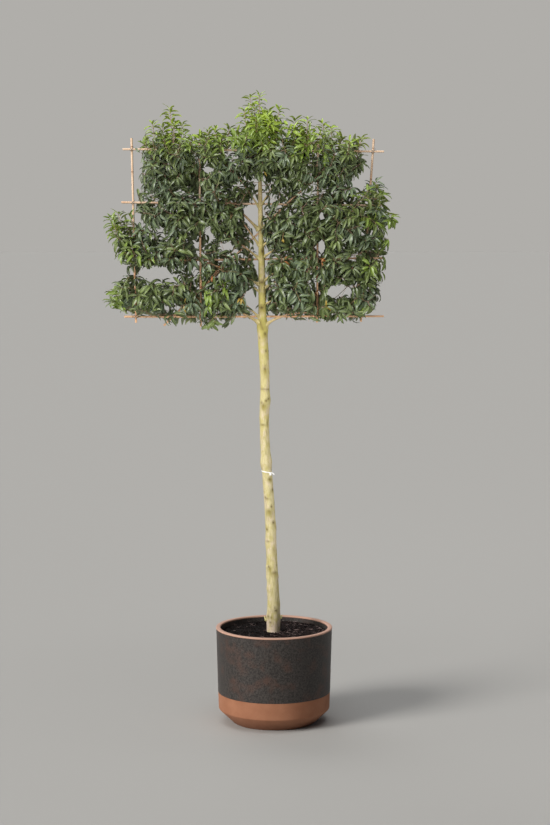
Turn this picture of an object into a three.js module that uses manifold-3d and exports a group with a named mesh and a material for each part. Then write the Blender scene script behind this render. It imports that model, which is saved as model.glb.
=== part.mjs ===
// A Portugal laurel trained flat on a frame of canes, standing in a round clay pot.
// Millimetres, +Z up. The origin is the middle of the pot's flat underside. The trained crown lies
// along X, 2 m above the compost, and its front looks along -Y.

import * as THREE from 'three';
import { mergeVertices } from 'three/addons/utils/BufferGeometryUtils.js';
import Module from 'manifold-3d';

const wasm = await Module();
wasm.setup();

// Driving dimensions

// Clearance between two pieces that touch.
const GAP = 0.3;

// Radii of the pot's outside at its rim, at the edge of the dark glaze, at the crease and at the foot.
const POT = {
  height: 600, rim: 363, glazeEdge: 352, crease: 349, foot: 260,
  glazeEdgeHeight: 190, creaseHeight: 85, wall: 26, floor: 40, rounding: 8, sides: 36,
};
const COMPOST_TOP = 570;

// The trunk's centre line: height above the pot's underside, sideways place and diameter.
const TRUNK_LINE = [
  [COMPOST_TOP + GAP, -5, 84], [760, -5, 77], [1090, -17, 67], [1330, -27, 64], [1830, -60, 58],
  [2165, -57, 58], [2450, -72, 61], [2540, -73, 49], [2870, -77, 42], [3010, -80, 34], [3310, -86, 27],
  [3575, -88, 13],
];
// Above the fork the trunk's back stays on the canes, so its middle comes back as it gets thinner.
const TRUNK = {
  sides: 10, ringSpacing: 22, fork: 2450, forkTop: 2540, upright: 970, seed: 11,
};
// Small knots wind up the clear stem. Their spread is round the trunk, in radians.
const KNOT = { from: 170, spacing: 104, swell: 4, length: 26, spread: 0.55 };
// Old branch collars: height, turn in degrees from the right towards the front, and how far they swell.
const COLLARS = [
  [658, 180, 11], [652, 10, 9], [950, 200, 5], [1640, 0, 7], [1637, 170, 5], [2034, 20, 7], [2462, -5, 8],
  [2486, 178, 5],
];
const TIE = {
  height: 1569, width: 7, thickness: 2.4, sides: 14, tail: 24,
  head: [18, 12, 13], headRight: 0.72, headAhead: 0.86,
};

// The frame of canes: the middle layer runs across behind the trunk, at this depth, and the others are lashed
// to its front (layer -1) or its back (layer 1). The first two values are radii.
const CANE = { across: 7.5, upright: 8, sides: 8, acrossY: 40 };
// The ends of each cane, as [x, z] pairs.
const CANES_ACROSS = [
  [[-933, 3575], [677, 3561]], [[-943, 3250], [662, 3231]],
  [[-760, 2893], [683, 2907]], [[-930, 2544], [681, 2547]],
];
const CANES_UPRIGHT = [
  { ends: [[-879, 3644], [-859, 2506]], layer: 1 }, { ends: [[-459, 3610], [-454, 2483]], layer: -1 },
  { ends: [[271, 3613], [266, 2509]], layer: -1 }, { ends: [[614, 3638], [540, 2512]], layer: 1 },
];
const CANE_DIAGONAL = [[-686, 2488], [444, 3588]];

// Each bough: height of its root on the trunk, its tip [x, z], its diameter at the root, and its arch, which
// is 0.5 for a straight bough and more for one that rises first and then levels out.
const BOUGH = { tipShare: 0.62, collar: 0.45, collarLength: 0.12, sides: 5, rings: 5, front: -9 };
const BOUGHS = {
  bottom_left_outer: [2497, [-408, 2644], 15, 0.72], bottom_left_inner: [2534, [-228, 2660], 12, 0.6],
  lower_left_outer: [2736, [-412, 2878], 12, 0.62], lower_left_inner: [2686, [-196, 2772], 10, 0.58],
  middle_left_outer: [2892, [-425, 3128], 12, 0.62], middle_left_inner: [2968, [-236, 3186], 12, 0.5],
  upper_left_outer: [3066, [-450, 3394], 14, 0.6], upper_left_inner: [3205, [-222, 3404], 10, 0.55],
  bottom_right_outer: [2475, [250, 2573], 15, 0.86], bottom_right_inner: [2612, [58, 2684], 10, 0.55],
  lower_right_outer: [2716, [252, 2856], 12, 0.66], lower_right_inner: [2756, [56, 2854], 12, 0.58],
  middle_right_outer: [2904, [252, 3090], 11, 0.64], middle_right_inner: [2972, [52, 3086], 10, 0.55],
  upper_right_outer: [3080, [252, 3384], 12, 0.6], upper_right_inner: [3222, [40, 3412], 10, 0.55],
};

// Each mass of leaves grows from the bough of its own name, or the top one from the trunk's tip. It fills a
// rounded box from one corner [x, z] to the other, and its long shoots reach out to their own tips [x, z].
const MASSES = {
  bottom_left_outer: [[-1010, 2520], [-445, 2825], [[-1046, 2668]]],
  bottom_left_inner: [[-466, 2475], [-105, 2790], []],
  lower_left_outer: [[-985, 2850], [-455, 3090], [[-1012, 3206], [-1010, 3070]]],
  lower_left_inner: [[-466, 2746], [-105, 3020], []],
  middle_left_outer: [[-860, 3040], [-445, 3350], []],
  middle_left_inner: [[-466, 2990], [-125, 3420], []],
  upper_left_outer: [[-862, 3300], [-440, 3740], [[-644, 3862], [-770, 3760], [-560, 3750]]],
  upper_left_inner: [[-487, 3330], [-200, 3690], [[-392, 3716], [-300, 3712]]],
  bottom_right_outer: [[260, 2530], [664, 2770], []],
  bottom_right_inner: [[-55, 2490], [300, 2800], []],
  lower_right_outer: [[255, 2750], [690, 3000], []],
  lower_right_inner: [[-55, 2765], [290, 3000], []],
  middle_right_outer: [[224, 2950], [740, 3390], [[784, 3140]]],
  middle_right_inner: [[-75, 2970], [265, 3330], []],
  upper_right_outer: [[255, 3350], [582, 3690], [[306, 3756], [425, 3690], [566, 3668]]],
  upper_right_inner: [[-40, 3330], [333, 3720], [[125, 3790], [225, 3776]]],
  top: [[-318, 3420], [90, 3800], [[-135, 3926], [-60, 3906], [56, 3858]]],
};
const CROWN = { depth: 210, middleY: 20, squareness: 4, shoot: 95 };

// Places where the sky shows through the crown: middle [x, z] and half sizes.
const WINDOWS = [
  [[-162, 3160], [50, 84]], [[-8, 3270], [52, 52]], [[-294, 2972], [82, 50]], [[-716, 2812], [135, 44]],
  [[-644, 2580], [105, 30]], [[412, 2694], [98, 52]], [[294, 2968], [34, 50]], [[-150, 2650], [46, 72]],
  [[-404, 3490], [36, 46]], [[2, 2760], [40, 36]],
];

// How a mass grows. A goal is where a twig ends. It draws that twig from the nearest growth, which counts as
// nearer the shorter its way back to the root is. Twigs leave at these shares of the twig before them.
const GROWTH = {
  stem: 58, stemRadius: 6.4, taper: 0.8, thinner: 0.5, sides: 3, forks: [0.3, 0.62, 0.93], forksTried: 6,
  goalArea: 6500, fewestGoals: 3, goalInset: 0.9, goalEdge: 12, shortOfTip: 0.9, sway: 46, candidates: 9,
  mostDraws: 60, wayBack: 0.3, shortest: 34, clearFrom: 0.15, clearance: 3, edge: 2, firstSeed: 100,
};
// A leaf here stands for a small spray, so it is twice life size. Its ridge, arch and droop are shares of its
// length, and its angles are in degrees. Where it has no room it turns and shrinks, for so many tries.
const LEAF = {
  length: 205, width: 82, ridge: 0.026, arch: 0.07, droop: 0.32, upward: 0.6, spread: 54, tipSpread: 12,
  variety: 0.36, step: 36, bare: 22, sunk: 0.3, tries: 14, shrink: 0.95, reach: 1.14, clearFrom: 0.14,
};

// Colour and roughness of each finish.
const FINISHES = {
  clay: [0xb9784f, 0.85], compost: [0x2a201c, 1], bark: [0xb3a76c, 0.8], cane: [0xdcb289, 0.6],
  tie: [0xf2f0ea, 0.4], leaf: [0x4f6a36, 0.4], young: [0x86a63c, 0.45],
};

// Solids

const MATERIALS = Object.fromEntries(Object.entries(FINISHES).map(([name, [color, roughness]]) => (
  [name, new THREE.MeshStandardMaterial({ color, roughness, metalness: 0 })])));

// A closed three.js geometry as a solid for joining and cutting.
function solidOf(geometry) {
  const bare = geometry.clone();
  bare.deleteAttribute('normal');
  bare.deleteAttribute('uv');
  const merged = mergeVertices(bare, 1e-4);
  const mesh = new wasm.Mesh({
    numProp: 3,
    vertProperties: new Float32Array(merged.attributes.position.array),
    triVerts: new Uint32Array(merged.index.array),
  });
  return new wasm.Manifold(mesh);
}

function geometryOf(solid) {
  const { numProp, vertProperties, triVerts } = solid.getMesh();
  const places = new Float32Array((vertProperties.length / numProp) * 3);
  for (let i = 0; i < places.length / 3; i++) {
    places.set(vertProperties.subarray(i * numProp, i * numProp + 3), i * 3);
  }
  const geometry = new THREE.BufferGeometry();
  geometry.setAttribute('position', new THREE.BufferAttribute(places, 3));
  geometry.setIndex(new THREE.BufferAttribute(new Uint32Array(triVerts), 1));
  geometry.computeVertexNormals();
  return geometry;
}

const plant = new THREE.Group();

function addPiece(name, geometry, finish) {
  const mesh = new THREE.Mesh(geometry, finish);
  mesh.name = name;
  plant.add(mesh);
  return mesh;
}

// Evenly spread numbers from 0 to 1 that are the same on every run.
function seeded(seed) {
  let state = (seed * 2654435761) >>> 0;
  return () => {
    state = (Math.imul(state, 1664525) + 1013904223) >>> 0;
    return state / 4294967296;
  };
}

const UP = new THREE.Vector3(0, 0, 1);
const BACK = new THREE.Vector3(0, 1, 0);
const GOLDEN_TURN = Math.PI * (3 - Math.sqrt(5));

// A round limb along a curve: a closed cylinder whose rings are carried to the given shares of the curve's
// length. radiusAt takes that share, and the turn round the limb from its right side towards its front.
function limbGeometry(curve, radiusAt, sides, shares) {
  const geometry = new THREE.CylinderGeometry(1, 1, 1, sides, shares.length - 1);
  const places = geometry.attributes.position;
  const place = new THREE.Vector3();
  for (let i = 0; i < places.count; i++) {
    place.fromBufferAttribute(places, i);
    const share = shares[Math.round((place.y + 0.5) * (shares.length - 1))];
    const along = curve.getTangentAt(share);
    const side = new THREE.Vector3().crossVectors(BACK, along).normalize();
    const ahead = new THREE.Vector3().crossVectors(side, along);
    const turn = Math.atan2(place.z, place.x);
    const radius = Math.hypot(place.x, place.z) < 0.5 ? 0 : radiusAt(share, turn);
    const centre = curve.getPointAt(share);
    centre.addScaledVector(side, radius * Math.cos(turn));
    centre.addScaledVector(ahead, radius * Math.sin(turn));
    places.setXYZ(i, centre.x, centre.y, centre.z);
  }
  return geometry;
}

const evenShares = (count) => Array.from({ length: count + 1 }, (_, i) => i / count);

// Pot and compost

function potOuterRadius(height) {
  const between = THREE.MathUtils.mapLinear;
  if (height < POT.creaseHeight) return between(height, 0, POT.creaseHeight, POT.foot, POT.crease);
  if (height < POT.glazeEdgeHeight) {
    return between(height, POT.creaseHeight, POT.glazeEdgeHeight, POT.crease, POT.glazeEdge);
  }
  return between(height, POT.glazeEdgeHeight, POT.height, POT.glazeEdge, POT.rim);
}

const INNER_CREASE = POT.creaseHeight + POT.wall / 2;
const potInnerRadius = (height) => potOuterRadius(height) - POT.wall;

// A profile of [radius, height] points, turned about the upright axis.
function turned(profile, sides) {
  const points = profile.map(([radius, height]) => new THREE.Vector2(radius, height));
  return new THREE.LatheGeometry(points, sides).rotateX(Math.PI / 2);
}

function potGeometry() {
  const soft = POT.height - POT.rounding;
  return turned([
    [0, 0], [POT.foot, 0], [POT.crease, POT.creaseHeight], [POT.glazeEdge, POT.glazeEdgeHeight],
    [potOuterRadius(soft), soft], [POT.rim - POT.rounding / 2, POT.height],
    [POT.rim - POT.wall + POT.rounding / 2, POT.height], [potInnerRadius(soft), soft],
    [potInnerRadius(INNER_CREASE), INNER_CREASE], [POT.foot - POT.wall / 2, POT.floor], [0, POT.floor],
  ], POT.sides);
}

// The compost fills the pot to just below its rim.
function compostGeometry() {
  const clear = 2 * GAP;
  return turned([
    [0, POT.floor + GAP], [POT.foot - POT.wall / 2 - clear, POT.floor + GAP],
    [potInnerRadius(INNER_CREASE) - clear, INNER_CREASE], [potInnerRadius(COMPOST_TOP) - clear, COMPOST_TOP],
    [0, COMPOST_TOP],
  ], POT.sides);
}

// Trunk

const trunkHeights = TRUNK_LINE.map(([height]) => height);
const TRUNK_FOOT = trunkHeights[0];
const TRUNK_TIP = trunkHeights[trunkHeights.length - 1];
const TRUNK_BACK = CANE.acrossY - CANE.across - 2 * GAP;

function trunkLineAt(height, column) {
  const above = Math.max(1, TRUNK_LINE.findIndex(([z]) => z >= height));
  const [low, high] = [TRUNK_LINE[above - 1], TRUNK_LINE[above]];
  return THREE.MathUtils.mapLinear(height, low[0], high[0], low[column], high[column]);
}

const trunkRadius = (height) => trunkLineAt(height, 2) / 2;

function trunkMiddle(height) {
  const crownY = TRUNK_BACK - trunkRadius(Math.max(height, TRUNK.forkTop));
  const y = crownY * THREE.MathUtils.smoothstep(height, TRUNK.upright, TRUNK.fork);
  return new THREE.Vector3(trunkLineAt(height, 1), y, height);
}

const trunkCurve = new THREE.CatmullRomCurve3(trunkHeights.map((z) => trunkMiddle(z)), false, 'centripetal');

// The collars, and the small knots, which are a golden turn apart.
function trunkKnots() {
  const random = seeded(TRUNK.seed);
  const knots = COLLARS.map(([height, degrees, swell]) => (
    { height, turn: THREE.MathUtils.degToRad(degrees), swell }));
  for (let height = TRUNK_FOOT + KNOT.from, n = 0; height < TRUNK.fork - KNOT.spacing; n++) {
    knots.push({ height, turn: n * GOLDEN_TURN, swell: KNOT.swell * (0.4 + random()) });
    height += KNOT.spacing * (0.8 + 0.4 * random());
  }
  return knots;
}

const KNOTS = trunkKnots();
const shareOfTrunk = (height) => (height - TRUNK_FOOT) / (TRUNK_TIP - TRUNK_FOOT);

// The trunk's radius with its knots, at a height and a turn.
function trunkSurface(height, turn) {
  return KNOTS.reduce((radius, knot) => {
    const round = Math.atan2(Math.sin(turn - knot.turn), Math.cos(turn - knot.turn)) / KNOT.spread;
    const along = (height - knot.height) / KNOT.length;
    return radius + knot.swell * Math.exp(-(round * round + along * along) / 2);
  }, trunkRadius(THREE.MathUtils.clamp(height, TRUNK_FOOT, TRUNK_TIP)));
}

// The trunk has a ring at each knot, midway between knots, at the tie and at the bends of its line.
function trunkRings() {
  const marks = [...KNOTS.map(({ height }) => height), ...trunkHeights, TIE.height].sort((a, b) => a - b);
  const between = marks.slice(1).map((height, i) => (height + marks[i]) / 2);
  const rings = [TRUNK_FOOT];
  for (const height of [...marks, ...between].sort((a, b) => a - b)) {
    const fromLast = height - rings[rings.length - 1];
    if (fromLast > TRUNK.ringSpacing && height < TRUNK_TIP - TRUNK.ringSpacing) rings.push(height);
  }
  return [...rings, TRUNK_TIP].map(shareOfTrunk);
}

function trunkGeometry(extra) {
  const radiusAt = (share, turn) => trunkSurface(trunkCurve.getPointAt(share).z, turn) + extra;
  return limbGeometry(trunkCurve, radiusAt, TRUNK.sides, trunkRings());
}

// The foot is cut flat and level on the compost.
function cutLevel(solid) {
  return solid.trimByPlane([0, 0, 1], TRUNK_FOOT);
}

// A cable tie round the trunk: its band, and the head with the band's loose end at the front right.
function trunkTie() {
  const middle = trunkCurve.getPointAt(shareOfTrunk(TIE.height));
  const turns = evenShares(TRUNK.sides).map((share) => 2 * Math.PI * share);
  const widest = Math.max(...turns.map((turn) => trunkSurface(TIE.height, turn)));
  const inner = (widest + 2 * GAP) / Math.cos(Math.PI / TIE.sides);
  const [outer, half] = [inner + TIE.thickness, TIE.width / 2];
  const section = [[inner, -half], [outer, -half], [outer, half], [inner, half], [inner, -half]];
  const band = turned(section, TIE.sides);
  const headMiddle = new THREE.Vector3(inner * TIE.headRight, -inner * TIE.headAhead - TIE.head[1] / 2, 0);
  const head = new THREE.BoxGeometry(...TIE.head).translate(...headMiddle.toArray());
  const tail = new THREE.BoxGeometry(TIE.tail, TIE.thickness, TIE.width);
  tail.translate(headMiddle.x + TIE.tail / 2, headMiddle.y, -TIE.width / 3);
  const joined = wasm.Manifold.union([solidOf(band), solidOf(head), solidOf(tail)]);
  return geometryOf(joined).translate(middle.x, middle.y, middle.z);
}

// Canes and boughs

function caneGeometry([[x0, z0], [x1, z1]], y, radius) {
  const start = new THREE.Vector3(x0, y, z0);
  const end = new THREE.Vector3(x1, y, z1);
  return limbGeometry(new THREE.LineCurve3(start, end), () => radius, CANE.sides, [0, 1]);
}

const layerY = (layer, radius) => CANE.acrossY + layer * (CANE.across + radius + GAP);

// Every cane as its name, ends, depth and radius.
const CANES = [
  ...CANES_ACROSS.map((ends, i) => (
    { name: `cane_across_${i + 1}`, ends, y: CANE.acrossY, radius: CANE.across })),
  ...CANES_UPRIGHT.map(({ ends, layer }, i) => (
    { name: `cane_upright_${i + 1}`, ends, y: layerY(layer, CANE.upright), radius: CANE.upright })),
  { name: 'cane_diagonal', ends: CANE_DIAGONAL, y: layerY(1, CANE.across), radius: CANE.across },
];

function boughCurve([rootHeight, [x, z], , arch]) {
  const root = trunkMiddle(rootHeight);
  const bend = new THREE.Vector3((root.x + x) / 2, BOUGH.front / 2, rootHeight + arch * (z - rootHeight));
  return new THREE.QuadraticBezierCurve3(root, bend, new THREE.Vector3(x, BOUGH.front, z));
}

function boughRadius(diameter, share) {
  const taper = 1 - (1 - BOUGH.tipShare) * share;
  const collar = BOUGH.collar * Math.exp(-share / BOUGH.collarLength);
  return (diameter / 2) * (taper + collar);
}

function boughGeometry(bough, extra) {
  const radiusAt = (share) => boughRadius(bough[2], share) + extra;
  return limbGeometry(boughCurve(bough), radiusAt, BOUGH.sides, evenShares(BOUGH.rings));
}

// Leaves

const massNames = Object.keys(MASSES);

// The middle and the half size of the box that each mass fills.
const SPACES = Object.fromEntries(Object.entries(MASSES).map(([name, [[x0, z0], [x1, z1]]]) => [name, {
  middle: new THREE.Vector3((x0 + x1) / 2, CROWN.middleY, (z0 + z1) / 2),
  half: new THREE.Vector3((x1 - x0) / 2, CROWN.depth, (z1 - z0) / 2),
}]));

// How far out a place lies in a mass's rounded box: 1 is on its surface.
function stretch(name, place) {
  const shares = place.clone().sub(SPACES[name].middle).divide(SPACES[name].half).toArray();
  const sum = shares.reduce((total, share) => total + Math.abs(share) ** CROWN.squareness, 0);
  return sum ** (1 / CROWN.squareness);
}

// The flat border between two masses, facing the first. It parts the way between their middles in the ratio
// of their sizes.
function borderOf(name, other) {
  const away = SPACES[other].middle.clone().sub(SPACES[name].middle);
  const reach = ({ half }) => Math.abs(away.x) * half.x + Math.abs(away.z) * half.z;
  const share = reach(SPACES[name]) / (reach(SPACES[name]) + reach(SPACES[other]));
  const onBorder = SPACES[name].middle.clone().addScaledVector(away, share);
  return new THREE.Plane().setFromNormalAndCoplanarPoint(away.normalize().negate(), onBorder);
}

const BORDERS = Object.fromEntries(massNames.map((name) => (
  [name, massNames.filter((other) => other !== name).map((other) => borderOf(name, other))])));

// How far a place lies inside a mass's borders, at the least.
const insideBorders = (name, place) => (
  Math.min(...BORDERS[name].map((border) => border.distanceToPoint(place))));

// Where a long shoot of a mass ends, a little short of its tip.
function shootEnd(name, [x, z], inset) {
  const tip = new THREE.Vector3(x, CROWN.middleY, z);
  return tip.addScaledVector(SPACES[name].middle.clone().sub(tip).normalize(), inset);
}

// Whether a place lies along a mass's long shoots, which run out from its middle.
function alongShoot(name, place) {
  const level = place.clone().setY(CROWN.middleY);
  return MASSES[name][2].some((tip) => {
    const shoot = new THREE.Line3(SPACES[name].middle, shootEnd(name, tip, CROWN.shoot));
    return shoot.closestPointToPoint(level, true, new THREE.Vector3()).distanceTo(level) < CROWN.shoot;
  });
}

function inWindow(place) {
  return WINDOWS.some(([[x, z], [halfWidth, halfHeight]]) => (
    Math.hypot((place.x - x) / halfWidth, (place.z - z) / halfHeight) < 1));
}

// A leaf keeps inside its mass's borders, in the rounded box or along the long shoots, and leaves the windows
// open.
function keepsToSpace(name, corners) {
  return corners.every((corner) => insideBorders(name, corner) > GROWTH.edge && !inWindow(corner)
    && (stretch(name, corner) < LEAF.reach || alongShoot(name, corner)));
}

// The axes of the trunk, boughs and canes as short straight pieces, for keeping growth clear of them.
function limbPieces() {
  const pieces = CANES.map(({ ends: [[x0, z0], [x1, z1]], y, radius }) => (
    { start: new THREE.Vector3(x0, y, z0), end: new THREE.Vector3(x1, y, z1), radius }));
  const addCurve = (points, radiusAt) => points.slice(1).forEach((end, i) => {
    pieces.push({ start: points[i], end, radius: radiusAt((i + 0.5) / (points.length - 1)) });
  });
  addCurve(trunkCurve.getSpacedPoints(24), (share) => trunkRadius(trunkCurve.getPointAt(share).z));
  Object.values(BOUGHS).forEach((bough) => (
    addCurve(boughCurve(bough).getSpacedPoints(BOUGH.rings), (share) => boughRadius(bough[2], share))));
  return pieces;
}

// The least distance between two straight pieces.
function distanceApart(a0, a1, b0, b1) {
  const u = a1.clone().sub(a0);
  const v = b1.clone().sub(b0);
  const w = a0.clone().sub(b0);
  const [uu, uv, vv, uw, vw] = [u.dot(u), u.dot(v), v.dot(v), u.dot(w), v.dot(w)];
  const clamp = (x) => Math.min(1, Math.max(0, x));
  const square = uu * vv - uv * uv;
  const s = square > 1e-6 * uu * vv ? clamp((uv * vw - vv * uw) / square) : 0;
  const t = clamp((uv * s + vw) / vv);
  const sAgain = clamp((uv * t - uw) / uu);
  return w.addScaledVector(u, sAgain).addScaledVector(v, -t).length();
}

const LIMBS = limbPieces();

function clearOfLimbs(start, end, radius) {
  return LIMBS.every((limb) => (
    distanceApart(start, end, limb.start, limb.end) > limb.radius + radius + GROWTH.clearance));
}

// Where a mass's stem leaves its limb: the middle of the limb's end face, and the way the limb points there.
function stemRoot(name) {
  const curve = name in BOUGHS ? boughCurve(BOUGHS[name]) : trunkCurve;
  return { at: curve.getPointAt(1), way: curve.getTangentAt(1) };
}

// The goals of a mass: near the tips of its long shoots, then places spread evenly through its own space.
function goalsOf(name, random) {
  const { middle, half } = SPACES[name];
  const goals = MASSES[name][2].map((tip, i) => {
    const sway = GROWTH.sway * Math.sin(GOLDEN_TURN * (i + 1));
    return shootEnd(name, tip, CROWN.shoot * GROWTH.shortOfTip).add(new THREE.Vector3(0, sway, 0));
  });
  const count = goals.length + Math.round((half.x * half.z) / GROWTH.goalArea) + GROWTH.fewestGoals;
  for (let draws = 0; goals.length < count && draws < GROWTH.mostDraws; draws++) {
    let best = null;
    let widest = 0;
    for (let i = 0; i < GROWTH.candidates; i++) {
      const place = new THREE.Vector3(2 * random() - 1, 2 * random() - 1, 2 * random() - 1);
      place.multiply(half).add(middle);
      const fits = stretch(name, place) < GROWTH.goalInset && insideBorders(name, place) > GROWTH.goalEdge;
      const room = Math.min(...goals.map((goal) => goal.distanceTo(place)), 2 * CROWN.depth);
      if (fits && !inWindow(place) && room > widest) [best, widest] = [place, room];
    }
    if (best) goals.push(best);
  }
  return goals;
}

// The twigs of a mass, each a straight piece with a radius at either end, from the stem outwards. Each twig
// is thinner than the growth that it leaves, so that its foot lies wholly inside that.
function growTwigs(name, seed) {
  const random = seeded(seed);
  const { at, way } = stemRoot(name);
  const growth = [];
  const twigs = [];
  const addTwig = (start, end, startRadius, back) => {
    const endRadius = startRadius * GROWTH.taper;
    const length = start.distanceTo(end);
    twigs.push({ start, end, startRadius, endRadius });
    for (const share of GROWTH.forks) {
      const radius = GROWTH.thinner * THREE.MathUtils.lerp(startRadius, endRadius, share);
      growth.push({ at: start.clone().lerp(end, share), back: back + share * length, radius });
    }
  };
  const foot = at.clone().addScaledVector(way, GAP);
  addTwig(foot, at.clone().addScaledVector(way, GROWTH.stem), GROWTH.stemRadius, 0);
  for (const goal of goalsOf(name, random).sort((a, b) => a.distanceTo(at) - b.distanceTo(at))) {
    const cost = (node) => node.at.distanceTo(goal) + GROWTH.wayBack * node.back;
    const isOpen = (node) => node.at.distanceTo(goal) > GROWTH.shortest
      && clearOfLimbs(node.at.clone().lerp(goal, GROWTH.clearFrom), goal, node.radius);
    const fork = [...growth].sort((a, b) => cost(a) - cost(b)).slice(0, GROWTH.forksTried).find(isOpen);
    if (fork) addTwig(fork.at, goal, fork.radius, fork.back);
  }
  return twigs;
}

function twigSolid({ start, end, startRadius, endRadius }) {
  const way = end.clone().sub(start);
  const geometry = new THREE.CylinderGeometry(endRadius, startRadius, way.length(), GROWTH.sides);
  geometry.translate(0, way.length() / 2, 0);
  geometry.applyQuaternion(new THREE.Quaternion().setFromUnitVectors(BACK, way.normalize()));
  return solidOf(geometry.translate(start.x, start.y, start.z));
}

// A leaf that arches over and hangs its tip, with a ridge for its midrib. It faces up and out from the flat
// crown. from is the share of its length where it starts, so that the outer blade can be tested by itself.
function leafSolid({ base, way, length, width }, from) {
  const facing = new THREE.Vector3(0, base.y < CROWN.middleY ? -1 : 1, LEAF.upward);
  const across = new THREE.Vector3().crossVectors(way, facing).normalize();
  const over = new THREE.Vector3().crossVectors(across, way).normalize();
  const at = (along, arch, sideways) => base.clone().addScaledVector(way, along * length)
    .addScaledVector(over, arch * length).addScaledVector(across, sideways * width);
  const corners = [
    at(from, from * LEAF.arch, 0), at(0.5, LEAF.arch, -0.5), at(0.5, LEAF.arch, 0.5),
    at(0.5, LEAF.arch + LEAF.ridge, 0), at(1, LEAF.arch, 0).addScaledVector(UP, -LEAF.droop * length),
  ];
  const faces = [0, 3, 1, 0, 2, 3, 4, 1, 3, 4, 3, 2, 0, 1, 2, 4, 2, 1];
  const geometry = new THREE.BufferGeometry().setFromPoints(corners).setIndex(faces);
  return { solid: solidOf(geometry), corners };
}

// A leaf on a twig, so far back from the tip and turned so far round it. The one at the tip points along it.
function leafOn({ start, end }, back, turn, size) {
  const way = end.clone().sub(start).normalize();
  const out = new THREE.Vector3().crossVectors(way, Math.abs(way.z) > 0.9 ? BACK : UP).normalize();
  out.applyAxisAngle(way, turn);
  const spread = THREE.MathUtils.degToRad(back > 0 ? LEAF.spread : LEAF.tipSpread);
  const base = end.clone().addScaledVector(way, -back);
  const leafWay = way.clone().multiplyScalar(Math.cos(spread)).addScaledVector(out, Math.sin(spread));
  base.addScaledVector(way, -LEAF.sunk).addScaledVector(leafWay, -LEAF.sunk);
  return { base, way: leafWay, length: LEAF.length * size, width: LEAF.width * size };
}

function boxesMeet(a, b) {
  return [0, 1, 2].every((k) => a.min[k] <= b.max[k] && b.min[k] <= a.max[k]);
}

function boxed(solid, owner) {
  return { solid, box: solid.boundingBox(), owner };
}

function isFree(solid, others) {
  const box = solid.boundingBox();
  return others.every((other) => !boxesMeet(box, other.box) || solid.intersect(other.solid).isEmpty());
}

// What growth keeps clear of: trunk, canes and boughs, each a gap larger than it is, the stems, and each mass
// as soon as it is grown.
const taken = [];

function largestBody(solid) {
  return solid.decompose().reduce((a, b) => (a.volume() > b.volume() ? a : b));
}

// A mass: its twigs, and the leaves that keep to its own space and touch nothing but the twig they grow on.
function massSolid(name, seed) {
  const random = seeded(seed + 500);
  const others = taken.filter(({ owner }) => owner !== name);
  const twigs = growTwigs(name, seed).map((twig) => ({ ...twig, solid: twigSolid(twig) }))
    .filter(({ solid }, i) => i === 0 || isFree(solid, others));
  const wood = twigs.map(({ solid }) => boxed(solid));
  const [leaves, blades] = [[], []];
  for (const twig of twigs.slice(1)) {
    const leafyLength = twig.start.distanceTo(twig.end) - LEAF.bare;
    for (let back = 0, turn = 2 * Math.PI * random(); back < leafyLength; back += LEAF.step) {
      const size = 1 + LEAF.variety * (random() - 0.5);
      for (let tries = 0; tries < LEAF.tries; tries++) {
        turn += GOLDEN_TURN;
        const leaf = leafOn(twig, back, turn, size * LEAF.shrink ** tries);
        const { solid, corners } = leafSolid(leaf, 0);
        if (!keepsToSpace(name, corners) || !isFree(solid, [...others, ...blades])) continue;
        const blade = leafSolid(leaf, LEAF.clearFrom).solid;
        if (!isFree(blade, [...wood, ...leaves])) continue;
        leaves.push(boxed(solid));
        blades.push(boxed(blade));
        break;
      }
    }
  }
  return largestBody(wasm.Manifold.union([...wood, ...leaves].map(({ solid }) => solid)));
}

// Assembly

addPiece('pot', potGeometry(), MATERIALS.clay);
addPiece('compost', compostGeometry(), MATERIALS.compost);
addPiece('trunk', geometryOf(cutLevel(solidOf(trunkGeometry(0)))), MATERIALS.bark);
addPiece('trunk_tie', trunkTie(), MATERIALS.tie);

const grownTrunk = solidOf(trunkGeometry(GAP));
taken.push(boxed(grownTrunk));

for (const { name, ends, y, radius } of CANES) {
  addPiece(name, caneGeometry(ends, y, radius), MATERIALS.cane);
  taken.push(boxed(solidOf(caneGeometry(ends, y, radius + GAP))));
}

for (const [name, bough] of Object.entries(BOUGHS)) {
  const limb = largestBody(solidOf(boughGeometry(bough, 0)).subtract(grownTrunk));
  addPiece(`bough_${name}`, geometryOf(limb), MATERIALS.bark);
  taken.push(boxed(solidOf(boughGeometry(bough, GAP))));
}

massNames.forEach((name, i) => {
  taken.push(boxed(twigSolid(growTwigs(name, GROWTH.firstSeed + i)[0]), name));
});

massNames.forEach((name, i) => {
  const solid = massSolid(name, GROWTH.firstSeed + i);
  addPiece(`leaves_${name}`, geometryOf(solid), name === 'top' ? MATERIALS.young : MATERIALS.leaf);
  taken.push(boxed(solid));
});

export default plant;
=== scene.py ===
# A Portugal laurel trained flat on a frame of bamboo canes, standing in a round clay pot.
# Metres, +Z up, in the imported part's own frame. The crown lies along X and its front looks along -Y.

import math
from collections import namedtuple

import bmesh
import bpy
import numpy as np
from mathutils import Matrix, Vector, noise


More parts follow.
